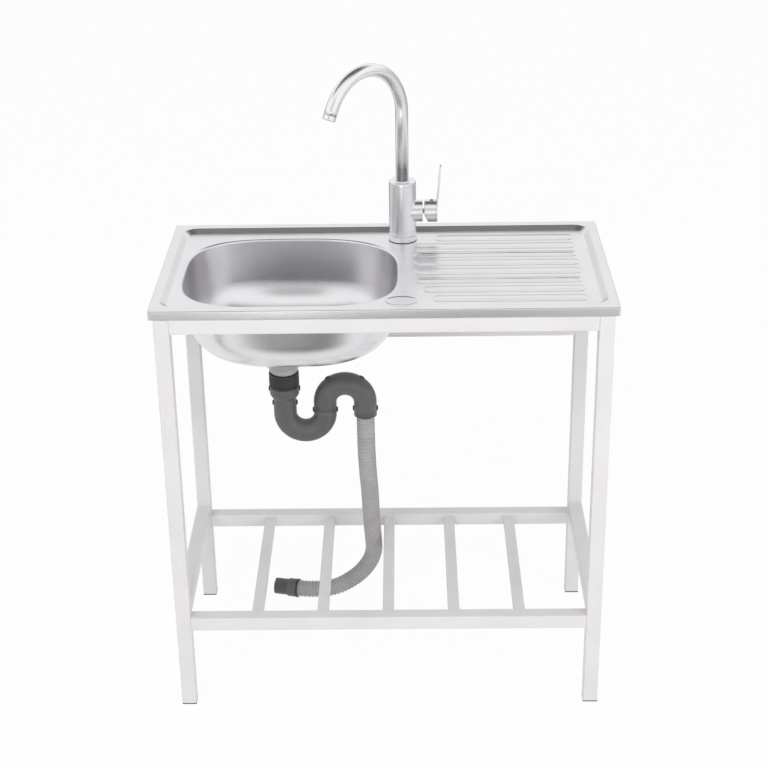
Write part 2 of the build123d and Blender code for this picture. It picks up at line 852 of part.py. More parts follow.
def make_tap_base():
    save(ring(at_tap(deck), tap_gasket_radius, tap_hole_radius, tap_gasket_thick), "tap_gasket")
    with BuildPart() as base_ring:
        with BuildSketch(at_tap(body_base)):
            Circle(base_ring_radius)
            Circle(body_spigot_radius + loose_fit, mode=Mode.SUBTRACT)
        extrude(amount=base_ring_height)
        chamfer(base_ring.faces().sort_by(Axis.Z)[-1].outer_wire().edges(), base_ring_chamfer)
    save(base_ring, "tap_base_ring")
    shank_bottom = deck - shank_length
    shank_top = body_base + shank_socket
    shank_bore = shank_radius - shank_wall
    save(ring(at_tap(shank_bottom), shank_radius, shank_bore, shank_top - shank_bottom), "tap_shank")
    rubber_top = deck - sheet
    steel_top = rubber_top - clamp_rubber
    nut_top = steel_top - clamp_steel
    hole = shank_radius + loose_fit
    save(ring(at_tap(rubber_top), clamp_radius, hole, -clamp_rubber), "shank_washer")
    save(ring(at_tap(steel_top), clamp_radius, hole, -clamp_steel), "shank_plate")
    with BuildPart() as nut:
        with BuildSketch(at_tap(nut_top)):
            RegularPolygon(shank_nut_flats / 2, 6, major_radius=False)
            Circle(shank_radius + running, mode=Mode.SUBTRACT)
        extrude(amount=-shank_nut_height)
    save(nut, "shank_nut")


def make_tap_body():
    bushing_bore = spout_radius + running + bushing_wall
    with BuildPart() as body:
        with BuildSketch(at_tap(body_base)):
            Circle(body_spigot_radius)
        extrude(amount=base_ring_height)
        with BuildSketch(at_tap(body_shoulder)):
            Circle(body_radius)
        extrude(amount=body_height)
        chamfer(body.faces().sort_by(Axis.Z)[-1].edges(), body_chamfer)
        with BuildSketch(at_handle(tap_x)):
            Circle(socket_radius)
        extrude(amount=socket_length)
        with BuildSketch(at_handle(socket_face)):
            Circle(cartridge_radius)
        extrude(amount=-(cartridge_length + cartridge_nut_length), mode=Mode.SUBTRACT)
        with BuildSketch(at_tap(body_top)):
            Circle(spout_radius + running)
        extrude(amount=-spout_insert, mode=Mode.SUBTRACT)
        with BuildSketch(at_tap(body_top)):
            Circle(bushing_bore)
        extrude(amount=-bushing_length, mode=Mode.SUBTRACT)
        with BuildSketch(at_tap(body_base)):
            Circle(shank_radius + running)
        extrude(amount=shank_socket, mode=Mode.SUBTRACT)
        inlet_floor = body_base + shank_socket
        with BuildSketch(at_tap(inlet_floor)):
            with Locations((0, -inlet_spread), (0, inlet_spread)):
                Circle(inlet_radius)
        extrude(amount=inlet_depth, mode=Mode.SUBTRACT)
        with BuildSketch(at_tap(inlet_floor + inlet_depth)):
            with Locations((0, -inlet_spread), (0, inlet_spread)):
                Circle(waterway_radius)
        extrude(amount=handle_z - waterway_offset - inlet_floor - inlet_depth, mode=Mode.SUBTRACT)
        with BuildSketch(at_handle(tap_x)):
            with Locations(*waterways):
                Circle(waterway_radius)
        extrude(amount=cartridge_back - tap_x, mode=Mode.SUBTRACT)
        with BuildSketch(at_tap(handle_z + waterway_offset)):
            Circle(waterway_radius)
        extrude(amount=spout_bottom - handle_z - waterway_offset, mode=Mode.SUBTRACT)
        with BuildSketch(along(tap_x, tap_y, body_top - lock_screw_drop)):
            Circle(lock_screw_radius)
        extrude(amount=body_radius, mode=Mode.SUBTRACT)
    save(body, "tap_body")
    bushing = ring(at_tap(body_top), bushing_bore, spout_radius + running, -bushing_length)
    save(bushing, "spout_bushing")
    groove_floor = spout_radius - lock_groove_depth
    with BuildPart() as lock_screw:
        with BuildSketch(along(tap_x, tap_y + spout_radius + running, body_top - lock_screw_drop)):
            Circle(lock_screw_radius)
        extrude(amount=body_radius - spout_radius - running)
        with BuildSketch(along(tap_x, tap_y + groove_floor + running, body_top - lock_screw_drop)):
            Circle(lock_screw_tip)
        extrude(amount=lock_groove_depth)
        with BuildSketch(along(tap_x, tap_y + body_radius, body_top - lock_screw_drop)):
            RegularPolygon(hex_socket_radius, 6)
        extrude(amount=-lock_screw_radius, mode=Mode.SUBTRACT)
    save(lock_screw, "spout_lock_screw")


def spout_line():
    """The middle line of the spout above the body, up to the aerator."""
    turn = radians(spout_heading)
    forward = Vector(-cos(turn), -sin(turn), 0)
    plane = Plane(origin=(tap_x, tap_y, 0), x_dir=forward, z_dir=forward.cross(Vector(0, 0, 1)))
    bend_z = body_top + spout_rise
    stop = radians(180 - spout_sweep)
    bend_end = (spout_bend * (1 + cos(stop)), bend_z + spout_bend * sin(stop))
    tip = (bend_end[0] + spout_end * sin(stop), bend_end[1] - spout_end * cos(stop))
    with BuildLine(plane) as line:
        Line((0, body_top), (0, bend_z))
        CenterArc((spout_bend, bend_z), spout_bend, 180, -spout_sweep)
        Line(bend_end, tip)
    return line.wires()[0]


def make_spout():
    line = spout_line()
    with BuildPart() as spout:
        with BuildSketch(at_tap(body_top)):
            Circle(spout_radius)
            Circle(spout_radius - spout_wall, mode=Mode.SUBTRACT)
        sweep(path=line)
        with BuildSketch(at_tap(body_top)):
            Circle(spout_radius)
            Circle(spout_radius - insert_wall, mode=Mode.SUBTRACT)
        extrude(amount=-(spout_insert - seat_gap))
        groove_top = body_top - lock_screw_drop + lock_screw_tip + running
        with BuildSketch(at_tap(groove_top)):
            Circle(spout_radius + running)
            Circle(spout_radius - lock_groove_depth, mode=Mode.SUBTRACT)
        extrude(amount=-2 * (lock_screw_tip + running), mode=Mode.SUBTRACT)
        for drop in oring_drops:
            with BuildSketch(at_tap(body_top - drop + oring_radius)):
                Circle(spout_radius + running)
                Circle(spout_radius - 2 * oring_radius, mode=Mode.SUBTRACT)
            extrude(amount=-2 * oring_radius, mode=Mode.SUBTRACT)
    save(spout, "spout_tube")
    with BuildPart() as seals:
        for drop in oring_drops:
            with BuildSketch(upright(tap_x, tap_y, body_top - drop)):
                with Locations((spout_radius - oring_radius, 0)):
                    Circle(oring_radius)
            revolve(axis=Axis((tap_x, tap_y, 0), (0, 0, 1)))
    save(seals, "spout_seal_rings")
    make_aerator(Plane(origin=line @ 1, z_dir=line % 1))


def make_aerator(mouth):
    """The housing at the spout's mouth and the mesh insert inside it."""
    spigot = spout_radius - spout_wall - running
    bore = spigot - aerator_wall
    with BuildPart() as housing:
        with BuildSketch(mouth):
            Circle(spout_radius)
        extrude(amount=aerator_length)
        chamfer(housing.faces().filter_by(GeomType.PLANE).sort_by(Axis.Z)[0].edges(), aerator_wall / 2)
        with BuildSketch(mouth):
            Circle(spigot)
        extrude(amount=-aerator_spigot)
        with BuildSketch(mouth.offset(-aerator_spigot)):
            Circle(bore)
        extrude(amount=aerator_spigot + aerator_length, mode=Mode.SUBTRACT)
    save(housing, "aerator_housing")
    with BuildPart() as insert:
        with BuildSketch(mouth.offset(aerator_length - mesh_thick - aerator_wall)):
            Circle(bore)
            with GridLocations(mesh_spacing, mesh_spacing, mesh_rows, mesh_rows):
                Circle(mesh_hole_radius, mode=Mode.SUBTRACT)
        extrude(amount=mesh_thick)
    save(insert, "aerator_insert")


def make_cartridge():
    rotor_bore = rotor_radius + running
    with BuildPart() as cartridge:
        with BuildSketch(at_handle(cartridge_back)):
            Circle(cartridge_radius)
        extrude(amount=cartridge_length)
        with BuildSketch(at_handle(rotor_back)):
            Circle(rotor_bore)
        extrude(amount=cartridge_length, mode=Mode.SUBTRACT)
        with BuildSketch(at_handle(cartridge_back)):
            with Locations(*waterways):
                Circle(waterway_radius)
        extrude(amount=cartridge_floor / 2, mode=Mode.SUBTRACT)
    save(cartridge, "cartridge_body")
    nut_plane = at_handle(socket_face - cartridge_nut_length)
    save(ring(nut_plane, cartridge_radius, rotor_bore, cartridge_nut_length), "cartridge_nut")
    stem_room = rotor_radius - rotor_wall
    pin_hole = pivot_pin_radius
    with BuildPart() as rotor:
        with BuildSketch(at_handle(rotor_back + running)):
            Circle(rotor_radius)
        extrude(amount=rotor_length)
        with BuildSketch(at_handle(rotor_back + running + rotor_floor)):
            Circle(stem_room)
        extrude(amount=rotor_length, mode=Mode.SUBTRACT)
        with BuildSketch(along(pivot_x, tap_y, handle_z)):
            Circle(pin_hole)
        extrude(amount=rotor_radius, both=True, mode=Mode.SUBTRACT)
    save(rotor, "cartridge_rotor")
    with BuildPart() as pin:
        with BuildSketch(along(pivot_x, tap_y, handle_z)):
            Circle(pivot_pin_radius)
        extrude(amount=rotor_radius - running, both=True)
    save(pin, "tilt_pin")


def make_handle():
    """The parts that tilt on the pin: stem, cap, lever, screw and index button."""
    socket_floor = cap_end - cap_solid + stem_socket
    fixing_x = cap_end - cap_solid + stem_socket / 2
    with BuildPart() as stem:
        with BuildSketch(at_handle(pivot_x - stem_inner)):
            Rectangle(stem_size, stem_size)
        extrude(amount=socket_floor - pivot_x + stem_inner)
        with BuildSketch(along(pivot_x, tap_y, handle_z)):
            Circle(pivot_pin_radius + running)
        extrude(amount=stem_size, both=True, mode=Mode.SUBTRACT)
    save(stem, "handle_stem")
    with BuildPart() as cap:
        with BuildSketch(at_handle(cap_face)):
            Circle(cap_radius)
        extrude(amount=cap_length)
        with BuildSketch(at_handle(cap_face)):
            Circle(cap_radius - cap_wall)
        extrude(amount=cap_length - cap_solid, mode=Mode.SUBTRACT)
        with BuildSketch(at_handle(cap_end - cap_solid)):
            Rectangle(stem_size, stem_size)
        extrude(amount=stem_socket, mode=Mode.SUBTRACT)
        with BuildSketch(Plane((fixing_x, tap_y, handle_z))):
            Circle(grub_radius)
        extrude(amount=cap_radius, mode=Mode.SUBTRACT)
        with BuildSketch(Plane((fixing_x, tap_y, handle_z + cap_radius - button_depth))):
            Circle(button_radius)
        extrude(amount=cap_radius, mode=Mode.SUBTRACT)
        drop = cap_radius - cap_bevel_start
        with BuildSketch(upright(cap_face, tap_y, handle_z)):
            with BuildLine():
                Polyline(
                    (0, -cap_bevel_start),
                    (0, -cap_radius),
                    (drop * tan(radians(cap_bevel_angle)), -cap_radius),
                    close=True,
                )
            make_face()
        extrude(amount=cap_radius, both=True, mode=Mode.SUBTRACT)
    save(cap, "handle_cap")
    with BuildPart() as lever:
        with BuildSketch(at_handle(cap_end)):
            Circle(cap_radius)
        extrude(amount=lever_disc)
        lean = radians(blade_lean)
        root = at_handle(cap_end + lever_disc - blade_thick)
        blade = Plane(origin=root.origin, x_dir=(0, 1, 0), z_dir=(cos(lean), 0, -sin(lean)))
        with BuildSketch(blade):
            with BuildLine():
                Polyline(
                    (-blade_width / 2, 0),
                    (blade_width / 2, 0),
                    (blade_tip_width / 2, blade_height),
                    (-blade_tip_width / 2, blade_height),
                    close=True,
                )
            make_face()
        extrude(amount=blade_thick)
        tip_edges = lever.edges().filter_by(Axis.X, tolerance=2 * blade_lean).group_by(Axis.Z)[-1]
        fillet(tip_edges, blade_tip_radius)
    save(lever, "lever_blade")
    with BuildPart() as grub:
        with BuildSketch(Plane((fixing_x, tap_y, handle_z + stem_size / 2))):
            Circle(grub_radius)
        extrude(amount=grub_length)
        with BuildSketch(Plane((fixing_x, tap_y, handle_z + stem_size / 2 + grub_length))):
            RegularPolygon(hex_socket_radius, 6)
        extrude(amount=-grub_radius, mode=Mode.SUBTRACT)
    save(grub, "grub_screw")
    with BuildPart() as button:
        with BuildSketch(Plane((fixing_x, tap_y, handle_z + cap_radius - button_depth))):
            Circle(button_radius)
        extrude(amount=button_depth + button_proud)
        fillet(button.faces().sort_by(Axis.Z)[-1].edges(), button_proud / 2)
    save(button, "index_button")


make_stand()
make_sink_top()
make_bowl()
make_waste()
make_trap()
make_hose()
make_hose_ends()
make_tap_base()
make_tap_body()
make_spout()
make_cartridge()
make_handle()
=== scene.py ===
import json
from bisect import bisect_left
from math import atan2, copysign, cos, log, pi, radians, sin, tan

import bmesh
import bpy
from mathutils import Matrix, Vector


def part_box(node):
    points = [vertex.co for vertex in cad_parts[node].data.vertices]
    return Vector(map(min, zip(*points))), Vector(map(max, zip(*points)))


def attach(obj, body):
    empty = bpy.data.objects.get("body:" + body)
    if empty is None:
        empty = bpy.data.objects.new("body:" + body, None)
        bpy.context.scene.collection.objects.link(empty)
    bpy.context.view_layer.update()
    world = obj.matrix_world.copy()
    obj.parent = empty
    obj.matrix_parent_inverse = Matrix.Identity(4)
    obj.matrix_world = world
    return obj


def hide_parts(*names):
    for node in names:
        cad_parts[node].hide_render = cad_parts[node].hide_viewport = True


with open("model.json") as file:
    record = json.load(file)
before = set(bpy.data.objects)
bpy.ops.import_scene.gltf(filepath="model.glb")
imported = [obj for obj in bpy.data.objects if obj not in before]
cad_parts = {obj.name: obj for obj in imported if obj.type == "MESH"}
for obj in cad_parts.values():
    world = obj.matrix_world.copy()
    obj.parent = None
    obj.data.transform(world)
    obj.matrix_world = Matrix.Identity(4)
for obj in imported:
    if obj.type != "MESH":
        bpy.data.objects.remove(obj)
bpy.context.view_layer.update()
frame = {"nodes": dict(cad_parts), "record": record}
mm = 0.001
mergeGap = 0.002 * mm
sameHeight = 1e-6
upAxis = Vector((0, 0, 1))
rightAxis = Vector((1, 0, 0))
print("frame loaded:", len(frame["nodes"]), "nodes")


def linearColour(hexColour):
    channels = [int(hexColour[i:i + 2], 16) / 255 for i in (1, 3, 5)]
    curve = [c / 12.92 if c <= 0.04045 else ((c + 0.055) / 1.055) ** 2.4 for c in channels]
    return (*curve, 1.0)


# adds one shader node; a socket given as a value is linked, anything else is set
def addNode(tree, kind, inputs=None, **settings):
    node = tree.nodes.new("ShaderNode" + kind)
    for name, value in settings.items():
        setattr(node, name, value)
    for socket, value in (inputs or {}).items():
        if isinstance(value, bpy.types.NodeSocket):
            tree.links.new(value, node.inputs[socket])
        else:
            node.inputs[socket].default_value = value
    return node


def newMaterial(name, **sockets):
    material = bpy.data.materials.new(name)
    material.use_nodes = True
    shader = material.node_tree.nodes["Principled BSDF"]
    for socket, value in sockets.items():
        shader.inputs[socket.replace("_", " ")].default_value = value
    return material, material.node_tree, shader


# noise in the object's own metres, grainMm wide, drawn out by stretch along each axis
def grainNoise(tree, grainMm, stretch=(1, 1, 1), detail=2.0):
    place = addNode(tree, "TexCoord").outputs["Object"]
    scale = [1 / s for s in stretch]
    mapped = addNode(tree, "Mapping", {"Vector": place, "Scale": scale})
    settings = {"Vector": mapped.outputs[0], "Scale": 1 / (grainMm * mm), "Detail": detail}
    return addNode(tree, "TexNoise", settings).outputs["Fac"]


noiseSpan = (0.3, 0.7)  # most of a noise lies between these


# swings the colour between two tones and the roughness between two values, and adds relief
def finish(tree, shader, tones, toneNoise, roughness, roughNoise, reliefNoise, reliefMm):
    ramp = addNode(tree, "ValToRGB", {"Fac": toneNoise})
    for stop, tone, share in zip(ramp.color_ramp.elements, tones, noiseSpan):
        stop.color = linearColour(tone)
        stop.position = share
    spread = addNode(tree, "MapRange", {
        "Value": roughNoise, "From Min": noiseSpan[0], "From Max": noiseSpan[1], "To Min": roughness[0],
        "To Max": roughness[1]})
    relief = addNode(tree, "Bump", {"Height": reliefNoise, "Distance": reliefMm * mm, "Strength": 1.0})
    tree.links.new(ramp.outputs["Color"], shader.inputs["Base Color"])
    tree.links.new(spread.outputs[0], shader.inputs["Roughness"])
    tree.links.new(relief.outputs[0], shader.inputs["Normal"])


# satin powder coat on steel tube: soft sheen, a very fine orange peel
def makePowderCoat():
    material, tree, shader = newMaterial("powderCoatOffWhite", IOR=1.5, Coat_Weight=0.12,
                                         Coat_Roughness=0.25)
    patches, wear = grainNoise(tree, grainMm=90), grainNoise(tree, grainMm=14)
    peel = grainNoise(tree, grainMm=1.6, detail=3)
    finish(tree, shader, ("#DCDADC", "#E2E0E2"), patches, (0.36, 0.46), wear, peel, reliefMm=0.035)
    return material


# cold-pressed stainless sheet, satin brushed along X: the grain is 0.1 mm, drawn 0.7 mm to show
def makePressedSteel():
    material, tree, shader = newMaterial("pressedStainlessSheet", Metallic=1.0)
    patches = grainNoise(tree, grainMm=110)
    grain = grainNoise(tree, grainMm=0.7, stretch=(60, 1, 1), detail=3)
    finish(tree, shader, ("#E4E3E5", "#E9E8EA"), patches, (0.27, 0.3), grain, grain, reliefMm=0.0003)
    return material


# turned and brushed brass under bright nickel: blurred bands of the room, with fine rings round
# the upright axis, drawn 0.5 mm wide
def makeBrightNickel():
    material, tree, shader = newMaterial("brightBrushedNickel", Metallic=1.0)
    patches = grainNoise(tree, grainMm=60)
    rings = grainNoise(tree, grainMm=0.5, stretch=(24, 24, 1))
    finish(tree, shader, ("#EDECEE", "#F2F1F3"), patches, (0.28, 0.32), rings, rings, reliefMm=0.0005)
    return material


# bare turned stainless and zinc steel of screws and washers
def makeTurnedSteel():
    material, tree, shader = newMaterial("turnedStainlessSteel", Metallic=1.0)
    patches, grain = grainNoise(tree, grainMm=8), grainNoise(tree, grainMm=0.5)
    finish(tree, shader, ("#A9A8A6", "#BDBCBA"), patches, (0.22, 0.38), grain, grain, reliefMm=0.004)
    return material


# bare turned brass of shank and nuts
def makeBrass():
    material, tree, shader = newMaterial("turnedBrass", Metallic=1.0)
    patches = grainNoise(tree, grainMm=12)
    rings = grainNoise(tree, grainMm=0.6, stretch=(12, 12, 1))
    finish(tree, shader, ("#B8935A", "#CBA76B"), patches, (0.24, 0.4), rings, rings, reliefMm=0.004)
    return material


# injection-moulded plastic: one tone with faint flow marks and a fine eroded texture
def makeMoulded(name, tones, roughness, textureMm=0.6, **sockets):
    material, tree, shader = newMaterial(name, IOR=1.49, **sockets)
    flow, wear = grainNoise(tree, grainMm=30), grainNoise(tree, grainMm=4)
    finish(tree, shader, tones, flow, roughness, wear, grainNoise(tree, textureMm), reliefMm=0.012)
    return material


powderCoat = makePowderCoat()
pressedSteel = makePressedSteel()
brightNickel = makeBrightNickel()
turnedSteel = makeTurnedSteel()
turnedBrass = makeBrass()
trapPlastic = makeMoulded("darkGreyPolypropylene", ("#555355", "#5E5C5E"), (0.34, 0.46))
nutPlastic = makeMoulded("nearBlackPolypropylene", ("#2D2D2F", "#363638"), (0.36, 0.5))
wastePlastic = makeMoulded("lightGreyPolypropylene", ("#A6A5A7", "#B0AFB1"), (0.38, 0.5))
hosePlastic = makeMoulded("lightGreyHosePolypropylene", ("#A29FA1", "#ADAAAC"), (0.3, 0.42))
whitePlastic = makeMoulded("naturalWhiteAcetal", ("#D9D8D2", "#E2E1DB"), (0.28, 0.4))
footPlastic = makeMoulded("darkGreyPolyethylene", ("#2B2B2D", "#353537"), (0.45, 0.6))
buttonPlastic = makeMoulded("greyAbs", ("#6E6E72", "#7A7A7E"), (0.2, 0.3), Coat_Weight=0.2)
sealRubber = makeMoulded("blackNitrileRubber", ("#1E1E1F", "#282829"), (0.55, 0.7), textureMm=0.4)
print("materials made")

slotFinish = {
    "frame_coat": powderCoat, "foot_plastic": footPlastic, "worktop_steel": pressedSteel,
    "waste_plastic": wastePlastic, "seal_rubber": sealRubber, "nut_plastic": nutPlastic,
    "trap_plastic": trapPlastic, "hose_plastic": hosePlastic, "tap_finish": brightNickel,
    "tap_brass": turnedBrass, "screw_steel": turnedSteel, "inner_plastic": whitePlastic,
    "index_plastic": buttonPlastic,
}
slotOfNode = {part["node"]: part["material_slot"] for part in frame["record"]["subparts"]}
bodies = frame["record"]["behaviour"]["bodies"]
bodyOfNode = {node: body for body, nodes in bodies.items() for node in nodes}
for node, item in frame["nodes"].items():
    item.data.materials.clear()
    item.data.materials.append(slotFinish[slotOfNode[node]])

madeNodes = set()


def addObject(name, data):
    item = bpy.data.objects.new(name, data)
    bpy.context.scene.collection.objects.link(item)
    return item


def meshFrom(bm, name):
    mesh = bpy.data.meshes.new(name)
    bm.to_mesh(mesh)
    bm.free()
    return mesh


# joins points that lie together and turns the faces outwards
def closeShell(bm):
    bmesh.ops.remove_doubles(bm, verts=bm.verts, dist=mergeGap)
    bmesh.ops.recalc_face_normals(bm, faces=bm.faces)


# turns a finished bmesh into a piece that rides with, and stands for, its CAD nodes; a single skin gets
# its wall on the inner side, once the face that lies furthest towards outSide looks that way
def addPiece(name, bm, *nodes, slot=None, body=None, sharp=32, weighted=False, wall=0.0, outSide=-rightAxis):
    closeShell(bm)
    if wall:
        outermost = max(bm.faces, key=lambda face: face.calc_center_median() @ outSide)
        if outermost.normal @ outSide < 0:
            bmesh.ops.reverse_faces(bm, faces=bm.faces)
    mesh = meshFrom(bm, name)
    mesh.shade_smooth()
    mesh.set_sharp_from_angle(angle=radians(sharp))
    piece = addObject(name, mesh)
    slot = slot or slotOfNode[nodes[0]]
    mesh.materials.append(slotFinish[slot])
    if wall:
        skin = piece.modifiers.new("wall", "SOLIDIFY")
        skin.thickness = wall * mm
        skin.offset = -1
    if weighted:
        normals = piece.modifiers.new("flatFaces", "WEIGHTED_NORMAL")
        normals.keep_sharp = True
    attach(piece, body or bodyOfNode[nodes[0]])
    if nodes:
        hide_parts(*nodes)
        madeNodes.update(nodes)
    return piece


# foot_cap_front_left becomes footCapFrontLeft
def pieceName(node):
    first, *others = node.split("_")
    return first + "".join(word.title() for word in others)


# a CAD node's own mesh, merged and shaded smooth, for small parts inside others
def smoothCopy(node):
    bm = bmesh.new()
    bm.from_mesh(frame["nodes"][node].data)
    bmesh.ops.remove_doubles(bm, verts=bm.verts, dist=mergeGap)
    return addPiece(pieceName(node), bm, node)


# turns X, Y and Z onto three directions
def turnOnto(x, y, z):
    return Matrix((x, y, z)).transposed().to_4x4()


def onlyEdges(items):
    return [item for item in items if isinstance(item, bmesh.types.BMEdge)]


def onlyVerts(items):
    return [item for item in items if isinstance(item, bmesh.types.BMVert)]


def edgesOf(verts):
    return list({edge for vert in verts for edge in vert.link_edges})


def vertsOf(edges):
    return list({vert for edge in edges for vert in edge.verts})


# rounds edges with an arc of this radius, in mm
def roundEdges(bm, edges, radius, segments):
    return bmesh.ops.bevel(bm, geom=edges, offset=radius * mm, offset_type="OFFSET", segments=segments,
                           profile=0.5, affect="EDGES", material=-1)


# a box with its middle at place and its size in mm
def addBox(bm, place, size):
    stretch = Matrix.Diagonal((*(side * mm for side in size), 1))
    return bmesh.ops.create_cube(bm, size=1, matrix=place @ stretch)["verts"]


# points across and up, in mm; a third number rounds that corner with an arc of this radius
def roundedLine(corners, steps=4):
    line = []
    for n, corner in enumerate(corners):
        here = Vector(corner[:2])
        if len(corner) < 3:
            line.append(here)
            continue
        back = (Vector(corners[n - 1][:2]) - here).normalized()
        on = (Vector(corners[n + 1][:2]) - here).normalized()
        half = back.angle(on) / 2
        centre = here + (back + on).normalized() * corner[2] / sin(half)
        start = here + back * corner[2] / tan(half) - centre
        turn = (pi - 2 * half) * (-1 if back.cross(on) > 0 else 1)
        line += [centre + Matrix.Rotation(turn * k / steps, 2) @ start for k in range(steps + 1)]
    return line


# a fine line cut round a cylinder at height z, with its half width at the bottom and at the mouth
def cutLine(radius, z, depth, halves):
    bottom, mouth = halves
    return [(radius, z - mouth), (radius - depth, z - bottom), (radius - depth, z + bottom),
            (radius, z + mouth)]


# a line of (radius, height) points turned right round an axis through middle
def turnRound(bm, middle, axis, line, steps=64, closed=True):
    centre, axis = Vector(middle) * mm, Vector(axis).normalized()
    side = axis.orthogonal().normalized()
    verts = [bm.verts.new(centre + (side * radius + axis * height) * mm) for radius, height in line]
    edges = [bm.edges.new(pair) for pair in zip(verts, verts[1:])]
    if closed:
        edges.append(bm.edges.new((verts[-1], verts[0])))
    bmesh.ops.spin(bm, geom=verts + edges, cent=centre, axis=axis, angle=2 * pi, steps=steps, use_merge=True)


# the same, with both ends of the line carried on to the axis
def turnSolid(bm, middle, axis, line, steps):
    turnRound(bm, middle, axis, [(0, line[0][1]), *line, (0, line[-1][1])], steps, closed=False)


# a closed ring of edges round the middle of place
def ringAt(bm, place, radius, sides):
    return edgesOf(bmesh.ops.create_circle(bm, cap_ends=False, segments=sides, radius=radius * mm,
                                           matrix=place)["verts"])


def circleRing(bm, middle, radius, z, sides=64, squeeze=1.0):
    place = Matrix.Translation((middle[0] * mm, middle[1] * mm, z * mm))
    return ringAt(bm, place @ Matrix.Diagonal((1, squeeze, 1, 1)), radius, sides)


# a closed ring of edges: a four-sided face with its corners bevelled, then opened
def outlineRing(bm, middle, size, radius, z, steps):
    known = set(bm.verts) | set(bm.edges)
    place = Matrix.Translation((middle[0] * mm, middle[1] * mm, z * mm))
    flat = place @ Matrix.Diagonal((size[0] * mm, size[1] * mm, 1, 1))
    corners = bmesh.ops.create_grid(bm, x_segments=1, y_segments=1, size=0.5, matrix=flat)["verts"]
    reach = min(radius, 0.4999 * min(size))  # just short of meeting the next corner
    for corner in corners:
        bmesh.ops.bevel(bm, geom=[corner], offset=reach * mm, offset_type="OFFSET", segments=steps,
                        profile=0.5, affect="VERTICES", material=-1, clamp_overlap=False)
    fresh = [vert for vert in bm.verts if vert not in known]
    bmesh.ops.remove_doubles(bm, verts=fresh, dist=0.03 * mm)
    ring = [edge for edge in bm.edges if edge not in known]
    bmesh.ops.delete(bm, geom=list(ring[0].link_faces), context="FACES_ONLY")
    return ring


# a closed ring as deep-drawn sheet has: its sides bow softly into corners of about the given radius,
# with a radius of its own for the corner beside the tap
def drawnRing(bm, middle, size, radius, tapRadius, z, sides=128):
    ring = circleRing(bm, (0, 0), 1000, z, sides)
    halves = [side / 2 for side in size]
    for vert in vertsOf(ring):
        corner = tapRadius if min(vert.co.xy) > 0 else radius
        share = 1 - (1 - cos(pi / 4)) * corner * (1 / halves[0] + 1 / halves[1]) / 2
        power = -2 * log(share) / log(2)
        for n, (half, out) in enumerate(zip(halves, vert.co.xy.normalized())):
            vert.co[n] = (middle[n] + copysign(half * abs(out) ** power, out)) * mm
    return ring


# joins a stack of rings, each made by makeRing(inset, z), and returns the first and the last
def stackRings(bm, line, makeRing):
    rings = []
    for inset, z in line:
        rings.append(makeRing(inset, z))
        if len(rings) > 1:
            bmesh.ops.bridge_loops(bm, edges=rings[-2] + rings[-1])
    return rings[0], rings[-1]


def fillFlat(bm, *rings):
    edges = [edge for ring in rings for edge in ring]
    bmesh.ops.triangle_fill(bm, edges=edges, use_beauty=False, use_dissolve=False, normal=(0, 0, 1))


# carries a ring of edges straight on, leaving a wall behind it
def pushRing(bm, ring, move):
    made = bmesh.ops.extrude_edge_only(bm, edges=ring)["geom"]
    verts = onlyVerts(made)
    bmesh.ops.translate(bm, verts=verts, vec=Vector(move) * mm)
    return [edge for edge in onlyEdges(made) if all(vert in verts for vert in edge.verts)]


# carries a ring of edges round an axis, leaving a bend behind it
def turnRing(bm, ring, centre, axis, degrees, steps):
    return onlyEdges(bmesh.ops.spin(bm, geom=vertsOf(ring) + ring, cent=Vector(centre) * mm, axis=axis,
                                    angle=radians(degrees), steps=steps)["geom_last"])


# camera at the photograph's place and angle
camera = {"place": (0.0355, -2.6608, 1.7943), "yaw": -0.0148649, "pitch": 0.4433102, "roll": -0.0154631,
          "lens": 79.22, "sensor": 36.0}


def makeCamera():
    yaw, pitch, roll = camera["yaw"], camera["pitch"], camera["roll"]
    ahead = Vector((sin(yaw) * cos(pitch), cos(yaw) * cos(pitch), -sin(pitch)))
    level = Vector((cos(yaw), -sin(yaw), 0))
    upright = level.cross(ahead)
    right = cos(roll) * level + sin(roll) * upright
    up = cos(roll) * upright - sin(roll) * level
    data = bpy.data.cameras.new("camera")
    data.lens = camera["lens"]
    data.sensor_width = camera["sensor"]
    eye = addObject("camera", data)
    eye.matrix_world = Matrix.Translation(camera["place"]) @ turnOnto(right, up, -ahead)
    bpy.context.scene.camera = eye


# floor and world, in metres; each pair of numbers is where a fade begins and where it is full
studio = {
    "floorSize": 14.0, "floorColour": "#F5F4F3", "floorGlow": 0.95, "floorGloss": 0.98,
    # the floor that gloss mirrors is dimmer ahead of the object, wide at its sides and behind it
    "frontPatch": 0.84, "frontNear": (-0.5, -0.9), "frontFar": (-2.4, -2.0), "frontTurn": 0.05,
    "frontSpread": (0.8, 0.1), "sidePatch": 0.3, "sideFrom": (1.8, 3.0), "sideUntil": (2.6, 1.0),
    "backPatch": 0.55, "backFrom": (0.9, 1.9),
    # matt surfaces get one soft level; the room that gloss mirrors has a dim ceiling behind, a dark end
    # ahead and a dim line along the horizon behind
    "soft": 0.64, "room": 1.08,
    "ceiling": 1.0, "ceilingFrom": (0.62, 0.8), "ceilingBehind": (-0.28, -0.04),
    "dark": 0.6, "darkHeading": (-0.05, -0.856, 0.515), "darkSpread": (0.95, 0.985),
    "horizon": 0.5, "horizonUntil": (0.33, 0.14), "horizonBehind": (0, 0.4),
}
lamps = {
    "keyLamp": {"place": (-1.3, -2.6, 2.7), "size": (1.6, 1.6), "power": 32, "mirrored": False},
    "fillLamp": {"place": (2.2, -2.2, 1.5), "size": (1.4, 1.8), "power": 28, "mirrored": False},
    "stripLamp": {"place": (-0.25, -1.5, 0.54), "size": (0.18, 0.44), "power": 1.0, "mirrored": True},
}
lampTarget = Vector((0, 0, 0.6))


